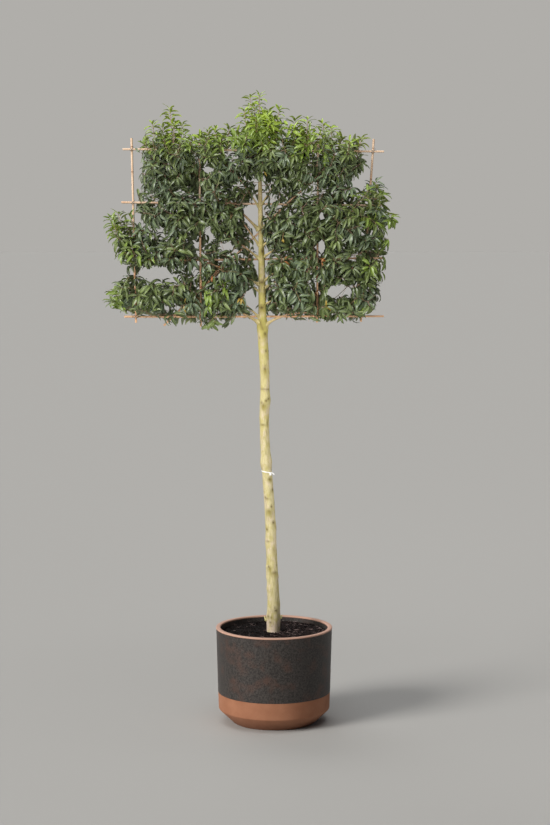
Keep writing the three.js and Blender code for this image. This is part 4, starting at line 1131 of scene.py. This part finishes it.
def goals_of(name, draw):
    """Where the main twigs end: at the feet of the long shoots, then spread evenly through the space."""
    middle, half = SPACES[name]
    borders = borders_of(name)
    goals = []
    for i, tip in enumerate(MASSES[name][2]):
        sway = SWAY * math.sin(GOLDEN_TURN * (i + 1))
        goals.append(shoot_place(name, tip, SHOOT_TIP + SHOOT_RUN) + sway * BACK)
    shoots = len(goals)
    count = shoots + round(half[0] * half[2] / GOAL_AREA) + FEWEST_GOALS
    for _ in range(MOST_DRAWS):
        if len(goals) >= count:
            break
        best, widest = None, 0
        for _ in range(CANDIDATES):
            place = middle + half * [2 * draw() - 1 for _ in range(3)]
            fits = stretch(name, place) < GOAL_INSET and inside_borders(borders, place) > GOAL_EDGE
            room = min([np.linalg.norm(goal - place) for goal in goals] + [2 * CROWN_DEPTH])
            if fits and room > widest and not in_window(place):
                best, widest = place, room
        if best is not None:
            goals.append(best)
    return goals, shoots


def thickness_at(places):
    """Half the crown's thickness. It is less beside the trunk, so that light reaches the boughs there, up to
    where the crown closes over it."""
    beside_trunk = np.abs(places[..., 0] - trunk_middle(places[..., 2])[..., 0])
    beside_trunk = beside_trunk + np.maximum(0, places[..., 2] - CLOSED_FROM)
    return np.minimum(CROWN_DEPTH, THIN_BY_TRUNK + THICKENING * beside_trunk)


def fine_goals_of(name, draw, goals):
    """Where the fine twigs end: evenly over the face of the mass, and well towards its front or back."""
    middle, half = SPACES[name]
    borders = borders_of(name)
    found = list(goals)
    for _ in range(round(half[0] * half[2] / FINE_AREA)):
        best, widest = None, 0
        for _ in range(FINE_CANDIDATES):
            across, high = 2 * draw() - 1, 2 * draw() - 1
            room_deep = max(0, 1 - across ** SQUARENESS - high ** SQUARENESS) ** (1 / SQUARENESS)
            side = 1 if draw() > 0.5 else -1
            deep = side * (FINE_DEEP[0] + FINE_DEEP[1] * draw()) * room_deep
            place = middle + half * [across, 0, high]
            place += deep * thickness_at(place) * BACK
            room = min(np.linalg.norm(np.array(found) - place, axis=1))
            fits = room_deep > 0 and inside_borders(borders, place) > 0
            if fits and room > widest and not in_window(place) and in_outline(place):
                best, widest = place, room
        if best is not None:
            found.append(best)
    return found[len(goals):]


def grow(name, seed):
    """The twigs of a mass: its stem, the main twigs, the long shoots, and the fine twigs between them. One
    starts at the growth nearest its goal, which counts as nearer the shorter its way back to the stem is."""
    draw = seeded(seed)
    at, way, limb_radius = stem_root(name)
    middle = SPACES[name][0]
    nodes, twigs = [], []

    def add_twig(start, end, radius, back, kind):
        length = np.linalg.norm(end - start)
        sag = (SAG_TALL if end[2] > UPRIGHT_FROM else SAG_HIGH) if end[2] > middle[2] else SAG_LOW
        bend = (start + end) / 2 - sag * length * UP
        if kind == "shoot":
            bend = (start + end) / 2 + SHOOT_BOW * length * draw() * BACK
        taper = FINE_TAPER if kind == "fine" else STEM_TAPER
        twigs.append(Twig(start, bend, end, radius, radius * taper, kind))
        for share in FORKS:
            place = curve_points(start, bend, end, share)
            nodes.append((*place, back + share * length, radius * (1 + (taper - 1) * share)))

    def draw_twig(goal, kind, shortest):
        known = np.array(nodes)
        reach = np.linalg.norm(known[:, :3] - goal, axis=1)
        nearest = np.argsort(reach + WAY_BACK * known[:, 3], kind="stable")[:FORKS_TRIED]
        starts = known[nearest, :3]
        ends = np.repeat(goal[None], len(nearest), axis=0)
        clear = clear_of_limbs(starts + (ends - starts) * CLEAR_FROM, ends, TWIG_CLEARANCE)
        for fork, is_clear in zip(nearest, clear):
            if is_clear and reach[fork] > shortest and in_outline(goal):
                radius = max(THINNEST, THINNER * known[fork, 4])
                add_twig(known[fork, :3], goal, radius, known[fork, 3], kind)
                return

    add_twig(at, at + way * STEM, limb_radius, 0, "stem")
    goals, shoots = goals_of(name, draw)
    for goal in sorted(goals, key=lambda place: np.linalg.norm(place - at)):
        draw_twig(goal, "main", SHORTEST)
    for foot, tip in zip(goals[:shoots], MASSES[name][2]):
        known = np.array(nodes)
        nearest = np.argmin(np.linalg.norm(known[:, :3] - foot, axis=1))
        start, back = known[nearest, :3], known[nearest, 3]
        end = shoot_place(name, tip, SHOOT_TIP)
        end[1] = foot[1] + SHOOT_LEAN * (2 * draw() - 1)
        add_twig(start, end, SHOOT_RADIUS, back, "shoot")
    fine = fine_goals_of(name, draw, goals)
    for goal in sorted(fine, key=lambda place: np.linalg.norm(place - at)):
        draw_twig(goal, "fine", FINE_SHORTEST)
    return twigs


def spur(height, way, length):
    """A short twig straight out of the trunk."""
    middle, way = trunk_middle(height), unit(np.array(way))
    start = middle + way * SPUR_SUNK * trunk_radius(height)
    end = middle + way * (trunk_radius(height) + length)
    bend = (start + end) / 2 - SPUR_SAG * length * UP
    return Twig(start, bend, end, SPUR_RADIUS, SPUR_RADIUS * SPUR_TAPER, "spur")


def twig_template():
    """A twig as a straight closed cylinder of radius 1 along Z, from 0 to 1."""
    bm = bmesh.new()
    bmesh.ops.create_cone(bm, cap_ends=True, segments=TWIG_SIDES, radius1=1, radius2=1, depth=1)
    bmesh.ops.translate(bm, vec=(0, 0, 0.5), verts=bm.verts)
    upright = [edge for edge in bm.edges if abs(edge.verts[0].co.z - edge.verts[1].co.z) > 0.5]
    bmesh.ops.subdivide_edges(bm, edges=upright, cuts=TWIG_RINGS - 1)
    return template_of(bm)


def curve_ways(start, bend, end, shares):
    """The directions of quadratic curves at shares of their length."""
    shares = np.asarray(shares)[..., None]
    return unit(2 * (1 - shares) * (bend - start) + 2 * shares * (end - bend))


TWIG = twig_template()


def twigs_mesh(name, twigs):
    """All the twigs of a mass in one mesh: brown older wood, and pinkish young shoots."""
    start, bend, end, radius, end_radius = (
        np.array([twig[part] for twig in twigs])[:, None] for part in range(5))
    shares = np.repeat(TWIG.places[None, :, 2], len(twigs), axis=0)
    along = curve_ways(start, bend, end, shares)
    side = unit(np.cross(np.where(np.abs(along[:, :1, 1:2]) > 0.8, UP, BACK), along))
    ahead = np.cross(side, along)
    thick = radius + (end_radius - radius) * shares
    thick = thick * (1 + TWIG_FLARE * np.exp(-shares / TWIG_FLARE_LENGTH))
    places = curve_points(start, bend, end, shares)
    for way, column in ((side, 0), (ahead, 1)):
        places = places + way * (thick * TWIG.places[:, column])[..., None]
    young = np.array([int(twig.kind not in ("stem", "main")) for twig in twigs])
    return copies_mesh(name, [(TWIG, places, young[:, None] + np.zeros(len(TWIG.sizes), int))])


twig_finishes = [
    finish("twig, older, brown", "#85704a", 0.7)[0], finish("twig, young, pinkish", "#a88a76", 0.55)[0]]
CROWN = {name: grow(name, FIRST_SEED + i) for i, name in enumerate(MASSES)}
CROWN["top"] += [spur(*row) for row in SPURS]
for name, twigs in CROWN.items():
    show(f"twigs_{name}", twigs_mesh(f"twigs_{name}", twigs), twig_finishes, [f"leaves_{name}"],
         sharp=60)

# The leaves
# Narrow evergreen leaves with a pointed, curled-back tip: dark and glossy above, pale and matt beneath,
# folded a little along a paler midrib, on short red-brown stalks. This year's shoots have yellow green ones.

LEAF_LENGTH_LOW, LEAF_LENGTH_HIGH, LEAF_SLIMNESS = 0.088, 0.069, 0.26
LOW_CROWN, CROWN_RISE = 2.5, 1.3
STALK, STALK_SUNK, STALK_RADII = 0.11, 0.05, (0.0095, 0.008)
LEAF_BODY, KEEL, LEAF_TWIST, CURL_ARC = 0.004, 2.2, 0.28, 2.4
# The powers that set where a blade is widest and how full it is, and its columns of vertices.
WIDEST, FULLNESS = 0.82, 0.85
COLUMNS = (-1, -0.52, -0.07, 0.07, 0.52, 1)
LEAF_ROWS = 6
LEAF_KINDS = 9
BLADE, MIDRIB, BENEATH, LEAFSTALK = range(4)
FIRST_LEAF, TUFT, TIGHTER, BARE_FOOT = 0.002, 5, 1.4, 0.014
# How each kind of twig carries its leaves: its leafy length, the step from leaf to leaf, how far the first
# one opens in degrees and how much more the rest do, how they droop, how far they curl, and how unevenly.
Habit = namedtuple("Habit", "leafy step least_open opening droop curl uneven")
HABITS = {
    "main": Habit(0.13, 0.0090, 26, 46, 0.20, 4.6, 1.6),
    "fine": Habit(0.17, 0.0090, 28, 46, 0.20, 4.6, 1.6),
    "shoot": Habit(0.20, 0.0100, 32, 28, 0.02, 4.0, 0.9),
    "spur": Habit(0.06, 0.0105, 30, 50, 0.20, 4.0, 1.6),
}
RIPE_AFTER, YOUNG_SIZE, YOUNG_CURL = 6, 0.76, 0.55
TURN_SPREAD, OPEN_SPREAD, DROOP_SPREAD, FACE_SPREAD = 0.25, 7, 0.10, 0.22
SIZE_SPREAD, WIDTH_SPREAD = (0.82, 1.16), (0.86, 1.14)
LEAN_OUT, FACE_UP, FACE_OUT, FACE_ALONG = 0.12, 0.75, 0.45, 0.5
LEAF_TRIES = 3
LEAF_CLEARANCE, STALK_PART, LEAF_REACH, HANG, PROUD_TIP = 0.004, 0.2, 1.0, 0.06, 0.02
TIP_IN_WINDOW, BLADE_IN_WINDOW = 0.8, 0.95
SEEN_ROOM, SEEN_CHANCE = 0.015, 0.10
AGED, SHADED_WITHIN = 0.35, 0.065
FRESH_TOP, FRESH_TOP_RISE = 3.48, 0.30
FRESH_ENDS, FRESH_ENDS_REACH, CROWN_CENTRE = 0.62, 0.25, -0.12
FRESH_LEFT, FRESH_RIGHT, FRESH_FACE, FRESH_SHOOT = 0.42, 0.60, 0.12, 0.3
FRESH_LOW, LOW_LEFT, LOW_RIGHT, LOW_TOP, CROWN_FACE = 0.16, -0.75, 0, 2.82, 0.12
TONE_SPREAD, TONE_STEPS = 0.13, [0.16, 0.3, 0.52, 0.8]
# The colours of each tone's upper side and underside. The shade tone is painted shade inside the crown.
# The upper sides of deep, cool and mid are greyed a little as painted sheen, and the undersides of fresh
# and bright are a clear yellow green, partly painted light shining through young leaves.
TONES = {
    "shade": ("#3f4a2a", "#6c7753"), "deep": ("#556239", "#87916b"), "cool": ("#5f6e52", "#8f997d"),
    "mid": ("#6b7a42", "#98a270"), "fresh": ("#738a2f", "#93a150"), "bright": ("#94ad2f", "#a3b44a"),
    "yellow": ("#b8983a", "#b09c56"), "orange": ("#a05d2b", "#a06e46"), "red": ("#8c4029", "#8c5643"),
}
AUTUMN_SIZE, FRONT_FIRST = 0.58, 0.4
# The few leaves turning before they fall: their tone, where they hang, and how many.
AUTUMN = [
    ("orange", (0.293, 2.893), 4), ("orange", (-0.338, 2.838), 2), ("red", (-0.444, 2.744), 2),
    ("yellow", (-0.212, 2.640), 3), ("yellow", (-0.060, 3.444), 2), ("yellow", (0.069, 2.985), 3),
    ("orange", (0.083, 2.895), 2), ("yellow", (-0.740, 2.880), 2), ("yellow", (-0.550, 2.655), 3),
    ("orange", (0.270, 2.705), 2), ("yellow", (0.030, 3.045), 3), ("orange", (-0.390, 2.780), 2),
    ("yellow", (0.300, 2.640), 2),
]
# The stretches of cane that show through the leaves, from end to end.
SEEN_CANES = [
    (-0.933, 3.575, -0.735, 3.573), (0.520, 3.563, 0.677, 3.561), (-0.943, 3.250, -0.705, 3.245),
    (-0.520, 3.243, -0.450, 3.242), (-0.335, 3.241, 0.045, 3.237), (0.380, 3.233, 0.662, 3.231),
    (-0.635, 2.896, -0.110, 2.900), (-0.050, 2.901, 0.070, 2.902), (0.575, 2.906, 0.683, 2.907),
    (-0.930, 2.544, -0.450, 2.545), (-0.410, 2.545, -0.110, 2.546), (-0.040, 2.546, 0.681, 2.547),
    (-0.879, 3.644, -0.871, 3.060), (-0.866, 2.850, -0.859, 2.506), (-0.459, 3.510, -0.457, 3.255),
    (-0.456, 3.000, -0.454, 2.483), (0.271, 3.613, 0.269, 3.400), (0.268, 2.960, 0.266, 2.509),
    (0.614, 3.638, 0.596, 3.370), (-0.686, 2.488, -0.550, 2.620), (-0.440, 2.730, -0.300, 2.860),
    (-0.245, 2.915, -0.105, 3.050),
]


def laurel_leaf(recurve, fold, wave, twist):
    """One leaf as a closed thin body along +Y, with its face up: its stalk from 0, and its blade to 1. Its
    width is 1 at its widest, below its middle. The bends are in radians."""
    bm = bmesh.new()
    bmesh.ops.create_grid(bm, x_segments=len(COLUMNS) - 1, y_segments=LEAF_ROWS, size=0.5)
    for face in bm.faces:
        face.material_index = MIDRIB if abs(face.calc_center_median().x) < 0.05 else BLADE
    for vert in bm.verts:
        vert.co.x = COLUMNS[round((vert.co.x + 0.5) * (len(COLUMNS) - 1))]
        vert.co.z = LEAF_BODY * (abs(vert.co.x) < 0.9) * (0.2 if abs(vert.co.x) < 0.1 else 1.0)
    under = bmesh.ops.create_grid(bm, x_segments=2, y_segments=LEAF_ROWS, size=0.5)["verts"]
    for vert in under:
        vert.co.x *= 2
        vert.co.z = -KEEL * LEAF_BODY * (abs(vert.co.x) < 0.1)
    stalk = bmesh.ops.create_cone(
        bm, cap_ends=True, segments=3, radius1=STALK_RADII[0], radius2=STALK_RADII[1], depth=1)["verts"]
    for verts, part in ((under, BENEATH), (stalk, LEAFSTALK)):
        for face in {face for vert in verts for face in vert.link_faces}:
            face.material_index = part
    for vert in bm.verts:
        if vert in stalk:
            share = (vert.co.z + 0.5) * (STALK + STALK_SUNK)
            x, z, blade = vert.co.x * 3, vert.co.y - 0.006, 0
        else:
            blade = vert.co.y + 0.5
            share = STALK + (1 - STALK) * blade
            half = 0.5 * math.sin(math.pi * blade ** WIDEST) ** FULLNESS if 0 < blade < 0.999 else 0.0
            x = vert.co.x * half
            z = vert.co.z * min(1, 6 * half) + fold * abs(x) * 0.3 + wave * abs(x) * math.sin(9 * blade)
        turn = recurve * share ** 1.4
        lean = twist * blade
        sideways, lift = x * math.cos(lean), z * math.cos(lean) + LEAF_TWIST * x * math.sin(lean)
        arc = turn / CURL_ARC
        run, drop = share * math.cos(arc), share * math.sin(arc)
        vert.co = Vector((sideways, run + lift * math.sin(turn), lift * math.cos(turn) - drop))
    bmesh.ops.remove_doubles(bm, verts=bm.verts, dist=1e-5)
    bmesh.ops.recalc_face_normals(bm, faces=bm.faces)
    return template_of(bm)


leaf_random = np.random.default_rng(7)
RECURVES = np.linspace(0.45, 2.2, LEAF_KINDS)
LEAVES = [
    laurel_leaf(recurve, *(leaf_random.uniform(*span) for span in [(0.25, 0.75), (0.02, 0.07), (-0.5, 0.5)]))
    for recurve in RECURVES]


def leaves_on(twig, freshness, random):
    """The leaves of one twig, from its tip back: their foots, ways, upper sides, lengths and kinds."""
    length = np.linalg.norm(twig.end - twig.start)
    habit = HABITS[twig.kind]
    leafy = min(habit.leafy, length - BARE_FOOT)
    count = TUFT + round(leafy / habit.step)
    shares = 1 - (FIRST_LEAF + leafy * np.linspace(0, 1, count) ** TIGHTER) / length
    foot = curve_points(twig.start, twig.bend, twig.end, shares)
    along = curve_ways(twig.start, twig.bend, twig.end, shares)
    order = np.arange(count)
    ripe = np.clip(order / RIPE_AFTER, 0, 1)
    right = unit(np.cross(along, np.where(np.abs(along[:, 2:3]) > 0.9, BACK, UP)))
    turns = GOLDEN_TURN * order + random.uniform(0, 2 * math.pi) + random.normal(0, TURN_SPREAD, count)
    out = right * np.cos(turns)[:, None] + np.cross(along, right) * np.sin(turns)[:, None]
    opened = habit.least_open + habit.opening * ripe ** 0.8 + random.normal(0, OPEN_SPREAD, count)
    opened = np.radians(opened)[:, None]
    way = along * np.cos(opened) + out * np.sin(opened)
    droop = habit.droop * (1 - freshness) + random.normal(0, DROOP_SPREAD, count)
    outwards = np.where(foot[:, 1:2] < CROWN_MIDDLE, -1.0, 1.0) * BACK
    way = unit(way - droop[:, None] * UP + LEAN_OUT * outwards)
    hint = FACE_UP * UP + FACE_OUT * outwards + FACE_ALONG * along
    hint = hint + random.normal(0, FACE_SPREAD, (count, 3))
    face = unit(hint - (hint * way).sum(-1, keepdims=True) * way)
    height_share = np.clip((foot[:, 2] - LOW_CROWN) / CROWN_RISE, 0, 1)
    sizes = LEAF_LENGTH_LOW + (LEAF_LENGTH_HIGH - LEAF_LENGTH_LOW) * height_share
    sizes = sizes * (YOUNG_SIZE + (1 - YOUNG_SIZE) * ripe) * random.uniform(*SIZE_SPREAD, count)
    kinds = random.normal(habit.curl * (YOUNG_CURL + (1 - YOUNG_CURL) * ripe) + 0.5, habit.uneven)
    return foot, way, face, sizes, np.clip(kinds, 0, LEAF_KINDS - 1).astype(int)


def leaf_finishes():
    """Waxy leaf skin and its matt underside in each tone, midrib and stalk, and where each comes in the
    list. They are plain, because a leaf this size shows its colour and gloss and no pattern."""
    made, slots = [], {}
    for tone, (above, below) in TONES.items():
        slots[tone] = len(made)
        made.append(finish(
            f"leaf, {tone}, waxy", above, 0.42, IOR=1.45, Coat_Weight=0.45, Coat_Roughness=0.36)[0])
        made.append(finish(f"leaf, {tone}, underside", below, 0.7)[0])
    for part, colour, roughness in (("midrib", "#98a765", 0.45), ("stalk", "#8a6248", 0.5)):
        slots[part] = len(made)
        made.append(finish(f"leaf, {part}", colour, roughness)[0])
    return made, slots


LEAF_FINISHES, LEAF_SLOTS = leaf_finishes()


def tone_of(freshness, random):
    """A spray's tone: young growth is brighter, and old growth deeper."""
    mark = freshness + random.normal(0, TONE_SPREAD)
    return ["deep", "cool", "mid", "fresh", "bright"][int(np.digitize(mark, TONE_STEPS))]


def freshness_of(twig):
    """From 0 for old leaves deep in the crown to 1 for this year's shoots, at its top and its far ends."""
    x, y, z = twig.end
    top = np.clip((z - FRESH_TOP) / FRESH_TOP_RISE, 0, 1)
    ends = np.clip((abs(x - CROWN_CENTRE) - FRESH_ENDS) / FRESH_ENDS_REACH, 0, 1)
    fresh = max(top, (FRESH_RIGHT if x > 0 else FRESH_LEFT) * ends)
    fresh += FRESH_FACE * (abs(y - CROWN_MIDDLE) > CROWN_FACE)
    fresh += FRESH_LOW * (z < LOW_TOP) * (LOW_LEFT < x < LOW_RIGHT)
    return float(np.clip(fresh + FRESH_SHOOT * (twig.kind == "shoot"), 0, 1))


SEEN_STARTS = np.array([(x, 0, z) for x, z, _, _ in SEEN_CANES])
SEEN_ENDS = np.array([(x, 0, z) for _, _, x, z in SEEN_CANES])


def keeps_its_place(name, foot, way, face, sizes, kinds, random):
    """Whether leaves stay in the crown or beside its shoots, out of the windows, off the limbs, and for the
    most part off the canes that show."""
    arc = RECURVES[kinds][:, None] / CURL_ARC
    tip = foot + (way * np.cos(arc) - face * np.sin(arc)) * sizes[:, None]
    near_shoot = np.zeros(len(foot), bool)
    level = tip * [1, 0, 1] + CROWN_MIDDLE * BACK
    for shoot in MASSES[name][2]:
        here, there = shoot_place(name, shoot, SHOOT_LENGTH), shoot_place(name, shoot, SHOOT * 0.5)
        near_shoot |= least_distance(level, level + 1e-6 * UP, here, there) < SHOOT
    for twig in [twig for twig in CROWN[name] if twig.kind == "spur"]:
        near_shoot |= np.linalg.norm(tip - twig.end, axis=1) < SHOOT
    kept = np.zeros(len(foot), bool)
    for other in MASSES:
        kept |= stretch(other, tip) < LEAF_REACH
        kept |= (stretch(other, tip + HANG * UP) < LEAF_REACH) & (tip[:, 2] < SPACES[other][0][2])
    kept = kept & in_outline(tip + random.normal(0, OUTLINE_BLUR, tip.shape)) | near_shoot
    kept &= ~in_window(tip, TIP_IN_WINDOW) & ~in_window((foot + tip) / 2, BLADE_IN_WINDOW)
    kept &= np.abs(tip[:, 1] - CROWN_MIDDLE) < thickness_at(tip) + PROUD_TIP
    flat_foot, flat_tip = (foot * [1, 0, 1])[:, None], (tip * [1, 0, 1])[:, None]
    apart = least_distance(flat_foot, flat_tip, SEEN_STARTS, SEEN_ENDS)
    covers = (tip[:, 1] < ACROSS_Y) & (apart < SEEN_ROOM).any(1)
    kept &= ~(covers & (random.uniform(0, 1, len(foot)) > SEEN_CHANCE))
    return kept & clear_of_limbs(foot + (tip - foot) * STALK_PART, tip, LEAF_CLEARANCE)


def mass_leaves(name, random):
    """Every leaf of a mass, with its tone. A leaf that would not keep its place is turned another way."""
    rows = []
    for twig in CROWN[name]:
        if twig.kind == "stem":
            continue
        freshness = freshness_of(twig)
        tone = tone_of(freshness, random)
        # Painted shade: older leaves in the middle of the crown take the dark shade tone.
        if freshness < AGED and abs(twig.end[1] - CROWN_MIDDLE) < SHADED_WITHIN:
            tone = "shade"
        waiting = True
        for _ in range(LEAF_TRIES):
            leaves = leaves_on(twig, freshness, random)
            placed = waiting & keeps_its_place(name, *leaves, random)
            rows.extend((*(part[i] for part in leaves), tone) for i in np.flatnonzero(placed))
            waiting &= ~placed
    return rows


def leaves_mesh(name, rows, random):
    """The leaves of a mass in one mesh, with each face's slot from its leaf's tone."""
    foot, way, face, sizes, kinds, tones = (np.array(column) for column in zip(*rows))
    tone_slots = np.array([LEAF_SLOTS[tone] for tone in tones])
    widths = sizes * LEAF_SLIMNESS * random.uniform(*WIDTH_SPREAD, len(rows))
    across = np.cross(way, face)
    sets = []
    for kind, leaf in enumerate(LEAVES):
        of_kind = kinds == kind
        places = foot[of_kind][:, None]
        for size, axis, column in ((widths, across, 0), (sizes, way, 1), (sizes, face, 2)):
            measure = (size[of_kind][:, None] * leaf.places[:, column])[..., None]
            places = places + measure * axis[of_kind][:, None]
        slot = tone_slots[of_kind][:, None]
        slots = np.select(
            [leaf.parts == BLADE, leaf.parts == BENEATH, leaf.parts == MIDRIB],
            [slot, slot + 1, LEAF_SLOTS["midrib"]], LEAF_SLOTS["stalk"])
        sets.append((leaf, places, slots))
    return copies_mesh(name, sets)


leaf_rows = {name: mass_leaves(name, leaf_random) for name in MASSES}
for tone, (x, z), count in AUTUMN:
    near = sorted((math.hypot(row[0][0] - x, row[0][2] - z) + FRONT_FIRST * row[0][1], name, i)
                  for name, rows in leaf_rows.items() for i, row in enumerate(rows))
    for _, name, i in near[:count]:
        foot, way, face, size, kind, _ = leaf_rows[name][i]
        leaf_rows[name][i] = (foot, way, face, AUTUMN_SIZE * size, kind, tone)
for name, rows in leaf_rows.items():
    foliage = leaves_mesh(f"foliage_{name}", rows, leaf_random)
    show(f"foliage_{name}", foliage, LEAF_FINISHES, [f"leaves_{name}"],
         sharp=70)

# The studio
# The plant stands on a wide, plain, pale floor that meets a backdrop of the same shade. A large soft lamp
# lights it from the upper left, with weaker ones from above and behind and one each on its crown and stem,
# and the camera looks slightly down from 3 m up.

FLOOR_REACH = 300.0
EYE, LOOK_AT, LENS = (0.0055, -11.7, 3.06), (0.0055, 0.0, 1.95), 82.45

ground = bmesh.new()
bmesh.ops.create_grid(ground, x_segments=1, y_segments=1, size=FLOOR_REACH)
floor_mesh = bpy.data.meshes.new("studio_floor")
ground.to_mesh(floor_mesh)
ground.free()
floor_mesh.materials.append(finish("studio floor, pale", "#b4b2ae", 0.9, Specular_IOR_Level=0.0)[0])
floor = bpy.data.objects.new("studio_floor", floor_mesh)
bpy.context.scene.collection.objects.link(floor)


def aimed(name, data, place, target):
    """Puts a lamp or camera at a place, looking at its target."""
    made = bpy.data.objects.new(name, data)
    bpy.context.scene.collection.objects.link(made)
    made.location = place
    made.rotation_euler = (Vector(target) - Vector(place)).to_track_quat("-Z", "Y").to_euler()
    return made


for name, place, spread, power, colour in [
        ("key_lamp", (-7.2, -5.1, 4.2), 24, 2.95, (1.0, 0.985, 0.96)),
        ("top_lamp", (-0.5, -2.0, 8.0), 60, 1.08, (1.0, 1.0, 1.0)),
        ("back_lamp", (-3.0, 8.0, 5.0), 50, 0.84, (0.97, 0.985, 1.0))]:
    lamp = bpy.data.lights.new(name, "SUN")
    lamp.angle = math.radians(spread)
    lamp.energy = power
    lamp.color = colour
    aimed(name, lamp, place, (0, 0, 0))
for name, place, target, power, cone, blend, size in [
        ("crown_lamp", (-1.1, -5.5, 3.8), (-0.1, 0, 3.2), 520, 34, 0.7, 1.2),
        ("trunk_lamp", (3.4, -4.8, 1.1), (-0.03, 0, 1.74), 640, 20, 0.35, 0.25)]:
    lamp = bpy.data.lights.new(name, "SPOT")
    lamp.energy = power
    lamp.spot_size = math.radians(cone)
    lamp.spot_blend = blend
    lamp.shadow_soft_size = size
    aimed(name, lamp, place, target)

world = bpy.data.worlds.new("studio")
world.use_nodes = True
backdrop = add_node(world, "ShaderNodeBackground", {"Color": "#b0aeaa", "Strength": 1.0})
glow = add_node(world, "ShaderNodeBackground", {"Color": "#eef4ff", "Strength": 0.10})
seen = add_node(world, "ShaderNodeLightPath").outputs["Is Camera Ray"]
add_node(world, "ShaderNodeMixShader", {0: seen, 1: glow.outputs[0], 2: backdrop.outputs[0]},
         into=(world.node_tree.nodes["World Output"], "Surface"))
bpy.context.scene.world = world
bpy.context.scene.view_settings.view_transform = "Standard"

lens = bpy.data.cameras.new("camera")
lens.lens = LENS
lens.sensor_width = 36.0
lens.clip_end = 1000.0
bpy.context.scene.camera = aimed("camera", lens, EYE, LOOK_AT)
